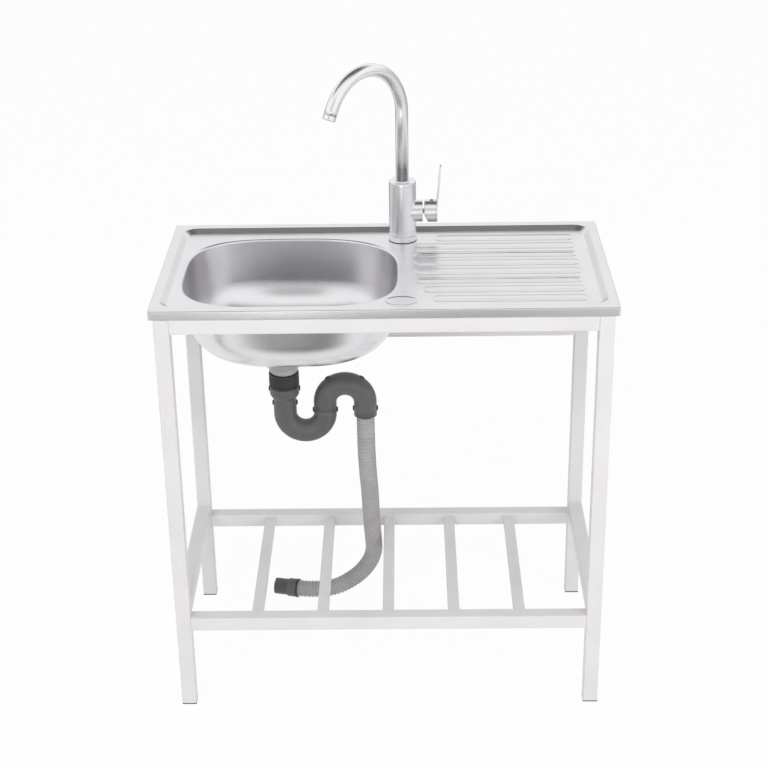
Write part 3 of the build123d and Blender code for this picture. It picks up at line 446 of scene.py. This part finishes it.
# 1 on rays from the camera, off gloss and through glass, 0 on those that only light the object
def rayIsSeen(tree):
    path = addNode(tree, "LightPath").outputs
    seen = addNode(tree, "Math", {0: path["Is Camera Ray"], 1: path["Is Glossy Ray"]}, operation="MAXIMUM")
    seen = addNode(tree, "Math", {0: seen.outputs[0], 1: path["Is Transmission Ray"]}, operation="MAXIMUM")
    return seen.outputs[0]


# takes share off a level where all the fades are full; a fade is a value, its beginning and its full end
def dimWhere(tree, level, share, *fades):
    full = 1.0
    for value, begin, end in fades:
        fade = addNode(tree, "MapRange", {"Value": value, "From Min": begin, "From Max": end},
                       interpolation_type="SMOOTHSTEP")
        full = addNode(tree, "Math", {0: fade.outputs[0], 1: full}, operation="MULTIPLY").outputs[0]
    return addNode(tree, "Math", {0: full, 1: -share, 2: level}, operation="MULTIPLY_ADD").outputs[0]


def makeFloor():
    bm = bmesh.new()
    bmesh.ops.create_grid(bm, x_segments=1, y_segments=1, size=studio["floorSize"] / 2)
    floor = addObject("floor", meshFrom(bm, "floor"))
    material, tree, shader = newMaterial("paperFloor", Roughness=0.8)
    shader.inputs["Base Color"].default_value = linearColour(studio["floorColour"])
    x, y, _ = addNode(tree, "SeparateXYZ", {0: addNode(tree, "TexCoord").outputs["Object"]}).outputs
    turn = addNode(tree, "Math", {0: x, 1: y}, operation="DIVIDE").outputs[0]
    turn = addNode(tree, "Math", {0: turn, 1: studio["frontTurn"]}, operation="SUBTRACT").outputs[0]
    aside, sideways, along = (addNode(tree, "Math", {0: value}, operation="ABSOLUTE").outputs[0]
                              for value in (turn, x, y))
    shade = dimWhere(tree, studio["floorGloss"], studio["frontPatch"], (y, *studio["frontNear"]),
                     (y, *studio["frontFar"]), (aside, *studio["frontSpread"]))
    shade = dimWhere(tree, shade, studio["sidePatch"], (sideways, *studio["sideFrom"]),
                     (along, *studio["sideUntil"]))
    shade = dimWhere(tree, shade, studio["backPatch"], (y, *studio["backFrom"]))
    toCamera = addNode(tree, "LightPath").outputs["Is Camera Ray"]
    bright = addNode(tree, "Math", {0: shade, 1: toCamera}, operation="MAXIMUM").outputs[0]
    glow = addNode(tree, "Emission", {"Color": (1, 1, 1, 1), "Strength": bright})
    share = addNode(tree, "Math", {0: rayIsSeen(tree), 1: studio["floorGlow"]}, operation="MULTIPLY")
    mix = addNode(tree, "MixShader", {0: share.outputs[0], 1: shader.outputs[0], 2: glow.outputs[0]})
    tree.links.new(mix.outputs[0], tree.nodes["Material Output"].inputs["Surface"])
    floor.data.materials.append(material)


def makeWorld():
    world = bpy.data.worlds.new("studio")
    bpy.context.scene.world = world
    world.use_nodes = True
    tree = world.node_tree
    heading = addNode(tree, "TexCoord").outputs["Generated"]
    _, back, rise = addNode(tree, "SeparateXYZ", {0: heading}).outputs
    level = dimWhere(tree, studio["room"], studio["ceiling"], (rise, *studio["ceilingFrom"]),
                     (back, *studio["ceilingBehind"]))
    toDark = Vector(studio["darkHeading"]).normalized()
    facing = addNode(tree, "VectorMath", {0: heading, 1: toDark}, operation="DOT_PRODUCT").outputs["Value"]
    level = dimWhere(tree, level, studio["dark"], (facing, *studio["darkSpread"]))
    level = dimWhere(tree, level, studio["horizon"], (rise, *studio["horizonUntil"]),
                     (back, *studio["horizonBehind"]))
    level = addNode(tree, "MapRange", {"Value": rayIsSeen(tree), "To Min": studio["soft"], "To Max": level})
    toCamera = addNode(tree, "LightPath").outputs["Is Camera Ray"]
    strength = addNode(tree, "Math", {0: level.outputs[0], 1: toCamera}, operation="MAXIMUM").outputs[0]
    background = tree.nodes["Background"]
    background.inputs["Color"].default_value = (1, 1, 1, 1)
    tree.links.new(strength, background.inputs["Strength"])


def makeLamps():
    for name, lamp in lamps.items():
        data = bpy.data.lights.new(name, "AREA")
        data.shape = "RECTANGLE"
        data.size, data.size_y = lamp["size"]
        data.energy = lamp["power"]
        item = addObject(name, data)
        item.location = lamp["place"]
        item.visible_glossy = lamp["mirrored"]
        item.rotation_euler = (lampTarget - item.location).to_track_quat("-Z", "Y").to_euler()


makeCamera()
makeFloor()
makeWorld()
makeLamps()
bpy.context.scene.view_settings.view_transform = "Standard"
print("studio made")

# drain hose: corrugated, from the trap's outlet to the cuff on the floor
hose = {
    "route": [(-37, -11.5, 478), (-37, -11.5, 418), (-35.5, 8, 357), (-33, 37, 298), (-32.5, 66, 238),
              (-30.5, 94, 176), (-28, 119, 113), (-62, 137, 53.5), (-124, 140, 18.5), (-182, 153, 18.5)],
    "routeSteps": 24, "radius": 16.0, "valley": 14.2, "bore": 13.0, "pitch": 7.0, "sides": 40,
    # share of a pitch and radius, round the crest and the valley of one rib
    "rib": ((0.0, 14.2), (0.2, 14.2), (0.29, 15.3), (0.38, 15.85), (0.52, 16.0), (0.66, 15.85),
            (0.75, 15.3), (0.84, 14.2)),
}


def makeHoseLine():
    data = bpy.data.curves.new("hoseLine", "CURVE")
    data.dimensions = "3D"
    spline = data.splines.new("NURBS")
    spline.points.add(len(hose["route"]) - 1)
    for point, place in zip(spline.points, hose["route"]):
        point.co = (*(c * mm for c in place), 1)
    spline.order_u = 3
    spline.use_endpoint_u = True
    spline.resolution_u = hose["routeSteps"]
    line = bpy.data.objects.new("hoseLine", data)
    mesh = bpy.data.meshes.new_from_object(line)
    points = [v.co.copy() for v in mesh.vertices]
    bpy.data.objects.remove(line)
    return points


def makeHose():
    points = makeHoseLine()
    reach = [0.0]
    for before, after in zip(points, points[1:]):
        reach.append(reach[-1] + (after - before).length)
    ribs = round(reach[-1] / (hose["pitch"] * mm))
    pitch = reach[-1] / ribs
    bm = bmesh.new()

    def ring(radius, distance):
        step = min(bisect_left(reach, distance, 1), len(points) - 1) - 1
        share = (distance - reach[step]) / (reach[step + 1] - reach[step])
        spot = points[step].lerp(points[step + 1], share)
        near, far = points[max(step - 1, 0)], points[min(step + 2, len(points) - 1)]
        heading = (far - near).normalized()
        side = (Vector((0, 1, 0)) - heading * heading.y).normalized()
        turn = turnOnto(side, heading.cross(side), heading)
        return ringAt(bm, Matrix.Translation(spot) @ turn, radius, hose["sides"])

    stops = [(radius, (n + share) * pitch) for n in range(ribs) for share, radius in hose["rib"]]
    stackRings(bm, stops + [(hose["valley"], reach[-1])], ring)
    piece = addPiece("drainHose", bm, "drain_hose", sharp=60, wall=hose["valley"] - hose["bore"])
    print("hose length", round(reach[-1], 4), "ribs", ribs)
    return piece, points, reach[-1]


# the hose's cuff and ring lie on the floor with it
drainHose, hoseLine, hoseLength = makeHose()
hoseCuff = smoothCopy("hose_end_cuff")
hoseRing = smoothCopy("hose_end_ring")
print("hose made")

# worktop: one pressed sheet, in mm, with heights above the floor
worktop = {"size": (750, 400), "top": 755, "edge": 740, "edgeReturn": 26, "foldRadius": 1.2,
           "edgeRadius": 1.6, "rimFlat": 3, "corner": 3, "leastCorner": 0.4, "recess": (720, 363),
           "recessY": 0.5, "recessCorner": 28, "recessFlat": 2.4, "slopeRun": 10, "deck": 748, "rimRadius": 2.4,
           "footRadius": 3, "sheet": 0.8, "tapHole": (31, 137.5, 17.5)}
bowl = {"middle": (-157, -11.5), "size": (357, 305), "corner": 103, "tapCorner": 124, "footCorner": 136,
        "depth": 130, "draft": (10, 5), "lipFlat": 5, "lipRadius": 3.6, "floorRadius": 58, "floorFlat": 2,
        "waste": (-177, -11.5), "seatRadius": 59, "seatDepth": 2.5, "seatFlat": 3, "seatEdge": 1.4,
        "seatSlope": 0.6, "seatFoot": 1.2, "holeRadius": 45}
ribs = {"count": 8, "pitch": 39.5, "width": 25, "height": 0.9, "run": 8, "topRadius": 3, "start": 48.5,
        "end": 331, "laterFront": 15, "laterBack": 38}
dish = {"middle": (28, -146), "size": (52, 37), "depth": 3.6, "run": 8.5, "footRadius": 2, "sides": 72}
pressed = {"before": 1.5, "edgeRadius": 1.4, "after": 2}


def makeRim(bm):
    length, width = worktop["size"]
    top, edge = worktop["top"], worktop["edge"]

    def ring(inset, z):
        corner = max(worktop["corner"] - inset, worktop["leastCorner"])
        return outlineRing(bm, (0, 0), (length - 2 * inset, width - 2 * inset), corner, z, steps=8)

    line = roundedLine([(worktop["edgeReturn"], edge), (0, edge, worktop["foldRadius"]),
                        (0, top, worktop["edgeRadius"]), (worktop["rimFlat"], top)])
    return stackRings(bm, line, ring)[1]


def makeRecess(bm):
    length, width = worktop["recess"]
    top, deck, run, flat = (worktop[key] for key in ("top", "deck", "slopeRun", "recessFlat"))

    def ring(inset, z):
        size = (length - 2 * inset, width - 2 * inset)
        return outlineRing(bm, (0, worktop["recessY"]), size, worktop["recessCorner"] - inset, z, steps=10)

    line = roundedLine([(-flat, top), (0, top, worktop["rimRadius"]), (run, deck, worktop["footRadius"]),
                        (run + flat, deck)])
    return stackRings(bm, line, ring)


def makeBowl(bm):
    deck, floor = worktop["deck"], worktop["deck"] - bowl["depth"]

    def ring(inset, z):
        share = (deck - z) / bowl["depth"]
        size = [side - 2 * share * draft - 2 * inset for side, draft in zip(bowl["size"], bowl["draft"])]
        corner = bowl["corner"] + share * (bowl["footCorner"] - bowl["corner"]) - inset
        tapCorner = bowl["tapCorner"] + share * (bowl["footCorner"] - bowl["tapCorner"]) - inset
        return drawnRing(bm, bowl["middle"], size, corner, tapCorner, z)

    line = roundedLine([(-bowl["lipFlat"], deck), (0, deck, bowl["lipRadius"]),
                        (0, floor, bowl["floorRadius"]),
                        (bowl["floorRadius"] + bowl["floorFlat"], floor)], steps=9)
    lip, foot = stackRings(bm, line, ring)
    radius, seat = bowl["seatRadius"], floor - bowl["seatDepth"]
    line = roundedLine([(radius + bowl["seatFlat"], floor), (radius, floor, bowl["seatEdge"]),
                        (radius - bowl["seatSlope"], seat, bowl["seatFoot"]), (bowl["holeRadius"], seat)])
    seatRim = stackRings(bm, line, lambda radius, z: circleRing(bm, bowl["waste"], radius, z))[0]
    fillFlat(bm, foot, seatRim)
    return lip


# the slope pressed into the deck round a rib or a dish, filled at its far end; it returns its foot
def pressSlope(bm, run, height, radius, steps, ring):
    deck = worktop["deck"]
    line = roundedLine([(-pressed["before"], deck), (0, deck, pressed["edgeRadius"]),
                        (run, deck + height, radius), (run + pressed["after"], deck + height)], steps)
    foot, crown = stackRings(bm, line, ring)
    fillFlat(bm, crown)
    return foot


def makeRib(bm, number):
    start = ribs["start"] + ribs["laterFront"] * max(0, 2 - number)
    start += ribs["laterBack"] * max(0, number - ribs["count"] + 2)
    y = worktop["recessY"] + (number - (ribs["count"] - 1) / 2) * ribs["pitch"]
    middle = ((start + ribs["end"]) / 2, y)

    def ring(inset, z):
        size = (ribs["end"] - start - 2 * inset, ribs["width"] - 2 * inset)
        return outlineRing(bm, middle, size, ribs["width"] / 2 - inset, z, steps=9)

    return pressSlope(bm, ribs["run"], ribs["height"], ribs["topRadius"], 3, ring)


def makeDish(bm):
    long, wide = (side / 2 for side in dish["size"])

    def ring(inset, z):
        squeeze = (wide - inset) / (long - inset)
        return circleRing(bm, dish["middle"], long - inset, z, dish["sides"], squeeze)

    return pressSlope(bm, dish["run"], -dish["depth"], dish["footRadius"], 4, ring)


def makeWorktop():
    bm = bmesh.new()
    rim = makeRim(bm)
    recessTop, recessFoot = makeRecess(bm)
    fillFlat(bm, rim, recessTop)
    x, y, radius = worktop["tapHole"]
    holes = [makeBowl(bm), circleRing(bm, (x, y), radius, worktop["deck"]), makeDish(bm)]
    holes += [makeRib(bm, number) for number in range(ribs["count"])]
    fillFlat(bm, recessFoot, *holes)
    addPiece("worktop", bm, "sink_top", "bowl", weighted=True, wall=worktop["sheet"], sharp=40,
             outSide=upAxis)


makeWorktop()
print("worktop made")

# stand: square tube with rounded edges, its inner corners welded
stand = {"tubeCorner": 2.0, "slatCorner": 1.6, "footHeight": 3.0, "footEdge": 0.6, "bead": 1.1,
         "beadStep": 1.5, "beadRipple": 0.18, "beadEnd": 0.35}


# a bar between two opposite corners, in metres, with its four long edges rounded
def addBar(bm, low, high, radius):
    low, high = Vector(low), Vector(high)
    size = high - low
    run = max(range(3), key=lambda n: size[n])
    edges = edgesOf(addBox(bm, Matrix.Translation((low + high) / 2), size / mm))
    long = [edge for edge in edges if abs((edge.verts[0].co - edge.verts[1].co)[run]) > 0.5 * size[run]]
    roundEdges(bm, long, radius, segments=4)


# rippled beads across the top and bottom of a rail's or slat's two ends
def addBeads(data, low, high):
    run = 0 if high[0] - low[0] > high[1] - low[1] else 1
    across = 1 - run
    inset = stand["tubeCorner"] * mm
    width = high[across] - low[across] - 2 * inset
    count = round(width / (stand["beadStep"] * mm))
    for end in (low[run], high[run]):
        for z in (low[2], high[2]):
            spline = data.splines.new("POLY")
            spline.points.add(count)
            for n, point in enumerate(spline.points):
                place = [0.0, 0.0, z, 1.0]
                place[run] = end
                place[across] = low[across] + inset + width * n / count
                point.co = place
                point.radius = stand["beadEnd"] if n in (0, count) else 1 + stand["beadRipple"] * (-1) ** n


def makeStand():
    data = bpy.data.curves.new("weldBeads", "CURVE")
    data.dimensions = "3D"
    data.bevel_depth = stand["bead"] * mm
    data.bevel_resolution = 2
    data.use_fill_caps = True
    hiddenUnderTop = (worktop["edge"] - 1) * mm
    for node in frame["nodes"]:
        low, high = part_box(node)
        if slotOfNode[node] == "frame_coat":
            bm = bmesh.new()
            addBar(bm, low, high, stand["slatCorner" if "slat" in node else "tubeCorner"])
            addPiece(pieceName(node), bm, node, weighted=True)
            if not node.startswith("leg") and high[2] < hiddenUnderTop:
                addBeads(data, low, high)
        elif slotOfNode[node] == "foot_plastic":
            bm = bmesh.new()
            addBar(bm, low, (high[0], high[1], stand["footHeight"] * mm), stand["tubeCorner"])
            rims = [edge for edge in bm.edges if all(abs(vert.co.z) < sameHeight for vert in edge.verts)]
            roundEdges(bm, rims, stand["footEdge"], segments=3)
            addPiece(pieceName(node), bm, node, weighted=True)
    beads = addObject("weldBeads", data)
    data.materials.append(powderCoat)
    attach(beads, bodyOfNode["leg_front_left"])


makeStand()
print("stand made")

# waste cup: the moulding that holds the strainer from below; its cone runs down into the nut
cup = {"wall": 2.5, "rimRadius": 52, "rimTop": 613.5, "rimBottom": 609.5, "edge": 0.8, "radius": 42.9,
       "underRim": 1.5, "coneTop": 588, "coneTurn": 4, "throat": 572, "throatTurn": 2, "ringRadius": 25,
       "ringBottom": 565.5, "ringEdge": 0.9, "stepRadius": 23.4, "stepTurn": 0.5, "stepBottom": 563,
       "spigot": 21.5, "bore": 17, "bottom": 543, "arm": 4.0, "armEnd": 0.5}


def makeCup():
    bm = bmesh.new()
    inner, edge = cup["radius"] - cup["wall"], cup["edge"]
    line = roundedLine([
        (inner, cup["rimTop"]), (cup["rimRadius"], cup["rimTop"], edge),
        (cup["rimRadius"], cup["rimBottom"], edge),
        (cup["radius"], cup["rimBottom"], cup["underRim"]), (cup["radius"], cup["coneTop"], cup["coneTurn"]),
        (cup["ringRadius"], cup["throat"], cup["throatTurn"]),
        (cup["ringRadius"], cup["ringBottom"], cup["ringEdge"]),
        (cup["stepRadius"], cup["ringBottom"], cup["stepTurn"]), (cup["stepRadius"], cup["stepBottom"], edge),
        (cup["spigot"], cup["stepBottom"]), (cup["spigot"], cup["bottom"]), (cup["bore"], cup["bottom"]),
        (cup["bore"], cup["throat"]), (inner, cup["coneTop"])])
    turnRound(bm, (*bowl["waste"], 0), upAxis, line)
    middle = Matrix.Translation(Vector((*bowl["waste"], cup["throat"] - cup["arm"] / 2)) * mm)
    reach, arm = 2 * (cup["bore"] + cup["armEnd"]), cup["arm"]
    for size in ((reach, arm, arm), (arm, reach, arm)):
        addBox(bm, middle, size)
    addPiece("strainerCup", bm, "strainer_cup", weighted=True)


# coupling nut: fine upright ribs between a plain lip and a plain foot
nut = {"radius": 26, "bore": 21.7, "pipeHole": 20.2, "bottom": 535, "top": 562, "edge": 0.8, "topEdge": 1.2,
       "lip": 3, "groove": 538.5, "grooveDepth": 0.9, "grooveHalves": (0.3, 0.6), "ribFoot": 541,
       "ribTop": 557, "ribStep": 0.5, "ribSlope": 0.8, "ribHeight": 0.7, "ribs": 60}


def makeNut():
    bm = bmesh.new()
    sides = 4 * nut["ribs"]  # two of each four stand proud
    radius, bottom, top = nut["radius"], nut["bottom"], nut["top"]
    ribFoot, ribTop, step = nut["ribFoot"], nut["ribTop"], nut["ribStep"]
    valley, lip = radius - nut["ribHeight"], bottom + nut["lip"]
    line = [(nut["pipeHole"], lip), (nut["pipeHole"], bottom)]
    line += roundedLine([(nut["bore"], bottom), (radius, bottom, nut["edge"]), (radius, nut["groove"])])[:-1]
    line += cutLine(radius, nut["groove"], nut["grooveDepth"], nut["grooveHalves"])
    line += [(radius, ribFoot - step), (valley, ribFoot)]
    upper = [(valley, ribTop), (radius, ribTop + step)]
    upper += roundedLine([(radius, ribTop + 2 * step), (radius, top, nut["topEdge"]),
                          (nut["bore"], top, nut["edge"]), (nut["bore"], lip)])
    upper.append((nut["pipeHole"], lip))

    def ring(radius, z):
        return circleRing(bm, bowl["waste"], radius, z, sides)

    footRing = stackRings(bm, line, ring)[1]
    topRing = stackRings(bm, upper, ring)[0]
    bmesh.ops.bridge_loops(bm, edges=footRing + topRing)
    axis = Vector((*bowl["waste"], 0)) * mm
    ribWalls = [edge for edge in bm.edges
                if abs(edge.verts[0].co.z - edge.verts[1].co.z) > 0.9 * (ribTop - ribFoot) * mm
                and (edge.verts[0].co - axis).xy.length > (valley - step) * mm]
    cut = bmesh.ops.subdivide_edges(bm, edges=ribWalls, cuts=2, use_grid_fill=False)["geom_inner"]
    for vert in set(onlyVerts(cut)):
        out = vert.co - axis
        number = round(atan2(out.y, out.x) / (2 * pi) * sides) % 4
        low = vert.co.z < (ribFoot + ribTop) / 2 * mm
        vert.co.z = (ribFoot + nut["ribSlope"] if low else ribTop - nut["ribSlope"]) * mm
        if number < 2:
            vert.co.xy += out.xy.normalized() * nut["ribHeight"] * mm
    addPiece("couplingNut", bm, "coupling_nut", sharp=28)


# trap: a U bend, and a return bend pushed over it half way up the riser
trap = {"radius": 20, "wall": 3, "bend": 35, "lowerBend": 483, "upperBend": 503, "joint": 493, "outlet": 478,
        "neck": 541, "neckGap": 0.1, "collarTop": 535, "collarRadius": 25.4, "collarBottom": 521,
        "collarEdge": 0.9, "collarTurn": 3, "taperBottom": 512, "taperTurn": 5, "taperEnd": 6,
        "sides": 72, "bendSteps": 40, "lug": (6, 9), "lugProud": 2.2, "lugEdge": 1.9, "outletLug": 12.5,
        "shoulderAngles": (57, 123)}


def makeTrap():
    x, y = bowl["waste"]
    radius, bend, neck = trap["radius"], trap["bend"], trap["radius"] - trap["neckGap"]
    straight = trap["taperBottom"] - trap["taperEnd"]

    def ring(radius, z, x=x):
        return circleRing(bm, (x, y), radius, z, trap["sides"])

    bm = bmesh.new()
    line = roundedLine([
        (neck, trap["neck"]), (neck, trap["collarTop"]),
        (trap["collarRadius"], trap["collarTop"], trap["collarEdge"]),
        (trap["collarRadius"], trap["collarBottom"], trap["collarTurn"]),
        (radius, trap["taperBottom"], trap["taperTurn"]), (radius, straight)], steps=5)
    last = stackRings(bm, line, ring)[1]
    last = pushRing(bm, last, (0, 0, trap["lowerBend"] - straight))
    last = turnRing(bm, last, (x + bend, y, trap["lowerBend"]), (0, -1, 0), 180, trap["bendSteps"])
    pushRing(bm, last, (0, 0, trap["joint"] - trap["lowerBend"]))
    addPiece("trapUBend", bm, "trap_u_bend", wall=trap["wall"])
    bm = bmesh.new()
    riser = x + 2 * bend
    last = pushRing(bm, ring(radius, trap["joint"], riser), (0, 0, trap["upperBend"] - trap["joint"]))
    last = turnRing(bm, last, (riser + bend, y, trap["upperBend"]), (0, 1, 0), 180, trap["bendSteps"])
    pushRing(bm, last, (0, 0, trap["outlet"] - trap["upperBend"]))
    addPiece("trapReturnBend", bm, "trap_return_bend", wall=trap["wall"])


# small black moulded lugs, in pairs on the pipe and two on the upper bend's shoulders
def makeLugs():
    x, y = bowl["waste"]
    bend, (wide, tall) = trap["bend"], trap["lug"]
    pairs = ((x, trap["collarTop"] - tall / 2, trap["collarRadius"]),
             (x, trap["taperBottom"] - tall, trap["radius"]),
             (x + 2 * bend, trap["joint"] - tall / 2, trap["radius"]),
             (x + 4 * bend, trap["outlet"] + trap["outletLug"], trap["radius"]))
    places = [Matrix.Translation(Vector((across + side * radius, y, z)) * mm)
              for across, z, radius in pairs for side in (-1, 1)]
    shoulder = Matrix.Translation(Vector((x + 3 * bend, y, trap["upperBend"])) * mm)
    reach = Matrix.Translation(((bend + trap["radius"]) * mm, 0, 0))
    for angle in trap["shoulderAngles"]:
        places.append(shoulder @ Matrix.Rotation(-radians(angle), 4, "Y") @ reach)
    bm = bmesh.new()
    for place in places:
        verts = addBox(bm, place, (2 * trap["lugProud"], wide, tall))
        roundEdges(bm, edgesOf(verts), trap["lugEdge"], segments=4)
    addPiece("trapLugs", bm, slot="nut_plastic", body=bodyOfNode["trap_u_bend"], sharp=60)


makeCup()
makeNut()
makeTrap()
makeLugs()
print("waste and trap made")

# tap: axes and heights in mm; the handle's axis runs along +X
tap = {"axis": (31, 137.5), "bottom": 749, "ringTop": 758, "ringRadius": 25, "ringBore": 21.2,
       "ringFoot": 0.5, "ringEdge": 1.3, "plug": 20.9, "seam": 0.2, "fineEdge": 0.4,
       "radius": 23.5, "top": 856, "edge": 1.6,
       "footLine": 767, "headLine": 850, "lineDepth": 0.5, "lineHalves": (0.25, 0.5), "lineGap": 2,
       "collarRadius": 14.2, "collarTurn": 0.2, "collarHeight": 1.3, "handle": 800, "socketRadius": 18.8,
       "socketStart": 4, "socketEnd": 66, "socketEdge": 0.7, "socketBore": 15.2, "socketFloor": 29,
       "sides": 96}
spout = {"radius": 11, "wall": 1.4, "gap": 0.05, "foot": 851, "bendStart": 978, "bend": 89, "bendSteps": 56,
         "sweep": 154, "heading": 47.6, "end": 8, "seam": 0.35, "aerator": 8, "aeratorWall": 3,
         "aeratorFoot": 0.3, "aeratorEdge": 0.8, "aeratorBore": 0.4}
handle = {"capStart": 69.2, "capEnd": 88.7, "radius": 19.5, "wall": 3, "solid": 11, "frontEdge": 0.7,
          "backEdge": 0.3, "backRing": 12, "bevelAngle": 25, "bevelStart": 3, "disc": 3, "discGap": 0.2,
          "discFoot": 0.15, "discEdge": 1.0, "discRing": 10, "bladeHeight": 84, "bladeWidth": 17,
          "tipWidth": 12, "bladeThick": 2.6, "tipRadius": 5.4, "lean": 5, "bladeEdge": 0.5}
button = {"x": 81.7, "radius": 4, "foot": 16.5, "top": 21.1, "dome": 1.7, "edge": 0.6, "crown": 1.4,
          "crownTurn": 0.8, "tip": 0.3, "sides": 40}


def makeTapBody():
    bm = bmesh.new()
    axis, x = (*tap["axis"], 0), tap["axis"][0]
    radius, top, fine, bore = tap["radius"], tap["top"], tap["fineEdge"], spout["radius"] + spout["gap"]
    line = roundedLine([
        (tap["ringBore"], tap["bottom"]), (tap["ringRadius"], tap["bottom"], tap["ringFoot"]),
        (tap["ringRadius"], tap["ringTop"], tap["ringEdge"]), (tap["ringBore"], tap["ringTop"])])
    turnRound(bm, axis, upAxis, line, tap["sides"])
    addPiece("tapBaseRing", bm, "tap_base_ring", weighted=True)
    bm = bmesh.new()
    shoulder, crown, seat = tap["ringTop"] + tap["seam"], top + tap["collarHeight"], spout["foot"] - 1
    line = [(tap["plug"], tap["bottom"]), (tap["plug"], shoulder)]
    line += roundedLine([(tap["plug"] + 0.1, shoulder), (radius, shoulder, fine),
                         (radius, tap["footLine"] - tap["lineGap"])])
    for z in (tap["footLine"], tap["headLine"]):
        line += cutLine(radius, z, tap["lineDepth"], tap["lineHalves"])
    line += roundedLine([
        (radius, tap["headLine"] + tap["lineGap"]), (radius, top, tap["edge"]),
        (tap["collarRadius"], top, tap["collarTurn"]), (tap["collarRadius"], crown, fine), (bore, crown),
        (bore, seat)])
    turnSolid(bm, axis, upAxis, line, tap["sides"])
    end = tap["socketEnd"] - x
    line = roundedLine([(tap["socketRadius"], tap["socketStart"]),
                        (tap["socketRadius"], end, tap["socketEdge"]), (tap["socketBore"], end, fine),
                        (tap["socketBore"], tap["socketFloor"])])
    turnSolid(bm, (*tap["axis"], tap["handle"]), rightAxis, line, tap["sides"])
    addPiece("tapBody", bm, "tap_body", weighted=True, sharp=25)


def makeSpout():
    bm = bmesh.new()
    x, y = tap["axis"]
    turn = radians(spout["heading"])
    forward = Vector((-cos(turn), -sin(turn), 0))
    hinge = upAxis.cross(forward)
    centre = Vector((x, y, spout["bendStart"])) + forward * spout["bend"]
    ring = circleRing(bm, (x, y), spout["radius"], spout["foot"])
    ring = pushRing(bm, ring, (0, 0, spout["bendStart"] - spout["foot"]))
    ring = turnRing(bm, ring, centre, hinge, spout["sweep"], spout["bendSteps"])
    sweep = Matrix.Rotation(radians(spout["sweep"]), 3, hinge)
    down = sweep @ upAxis
    pushRing(bm, ring, down * (spout["end"] - spout["seam"]))
    addPiece("spoutTube", bm, "spout_tube", wall=spout["wall"])
    bm = bmesh.new()
    mouth = centre + sweep @ (-forward * spout["bend"]) + down * spout["end"]
    outer, inner, depth = spout["radius"], spout["radius"] - spout["aeratorWall"], spout["aerator"]
    line = roundedLine([(inner, 0), (outer, 0, spout["aeratorFoot"]), (outer, depth, spout["aeratorEdge"]),
                        (inner, depth, spout["aeratorBore"]), (inner, 0)])
    turnRound(bm, mouth, down, line[:-1])
    addPiece("aeratorHousing", bm, "aerator_housing", weighted=True)


def makeCap():
    bm = bmesh.new()
    length = handle["capEnd"] - handle["capStart"]
    outer, inner, floor = handle["radius"], handle["radius"] - handle["wall"], length - handle["solid"]
    line = roundedLine([(inner, floor), (inner, 0, tap["fineEdge"]), (outer, 0, handle["frontEdge"]),
                        (outer, length, handle["backEdge"]), (handle["backRing"], length)])
    middle = Vector((handle["capStart"], tap["axis"][1], tap["handle"]))
    turnSolid(bm, middle, rightAxis, line, tap["sides"])
    closeShell(bm)
    slope = radians(handle["bevelAngle"])
    cut = bmesh.ops.bisect_plane(bm, geom=bm.verts[:] + bm.edges[:] + bm.faces[:], clear_outer=True,
                                 plane_co=(middle - upAxis * handle["bevelStart"]) * mm,
                                 plane_no=(-cos(slope), 0, -sin(slope)))["geom_cut"]
    bmesh.ops.triangle_fill(bm, edges=onlyEdges(cut), use_beauty=False, use_dissolve=False)
    addPiece("handleCap", bm, "handle_cap", weighted=True, sharp=25)


def makeLever():
    bm = bmesh.new()
    middle = Vector((handle["capEnd"], tap["axis"][1], tap["handle"]))
    radius, gap = handle["radius"], handle["discGap"]
    line = roundedLine([(radius - 2 * gap, gap), (radius, gap, handle["discFoot"]),
                        (radius, handle["disc"], handle["discEdge"]), (handle["discRing"], handle["disc"])])
    turnSolid(bm, middle, rightAxis, line, tap["sides"])
    lean = radians(handle["lean"])
    turn = turnOnto((0, 1, 0), (sin(lean), 0, cos(lean)), (cos(lean), 0, -sin(lean)))
    root = middle + Vector((handle["disc"] - handle["bladeThick"], 0, 0))
    size = Vector((handle["bladeWidth"], handle["bladeHeight"], handle["bladeThick"]))
    lift = Matrix.Translation((0, size.y / 2 * mm, size.z / 2 * mm))
    verts = addBox(bm, Matrix.Translation(root * mm) @ turn @ lift, size)
    tips = sorted(verts, key=lambda vert: vert.co.z)[4:]
    for vert in tips:
        vert.co.y = middle.y * mm + (vert.co.y - middle.y * mm) * handle["tipWidth"] / handle["bladeWidth"]
    corners = [edge for edge in edgesOf(tips) if all(end in tips for end in edge.verts)
               and abs(edge.verts[0].co.y - edge.verts[1].co.y) < sameHeight]
    made = roundEdges(bm, corners, handle["tipRadius"], segments=8)
    blade = {face for vert in verts + made["verts"] if vert.is_valid for face in vert.link_faces}
    rims = [edge for edge in {edge for face in blade for edge in face.edges} if edge.calc_face_angle(0) > 1]
    roundEdges(bm, rims, handle["bladeEdge"], segments=3)
    addPiece("leverBlade", bm, "lever_blade", weighted=True, sharp=30)


def makeButton():
    bm = bmesh.new()
    radius, top = button["radius"], button["top"]
    line = roundedLine([(radius, button["foot"]), (radius, top - button["dome"], button["edge"]),
                        (button["crown"], top, button["crownTurn"]), (button["tip"], top)])
    turnSolid(bm, (button["x"], tap["axis"][1], tap["handle"]), upAxis, line, button["sides"])
    addPiece("indexButton", bm, "index_button", sharp=50)


makeTapBody()
makeSpout()
makeCap()
makeLever()
makeButton()
print("tap made")

# the small parts inside keep their CAD form
for node in frame["nodes"]:
    if node not in madeNodes:
        smoothCopy(node)
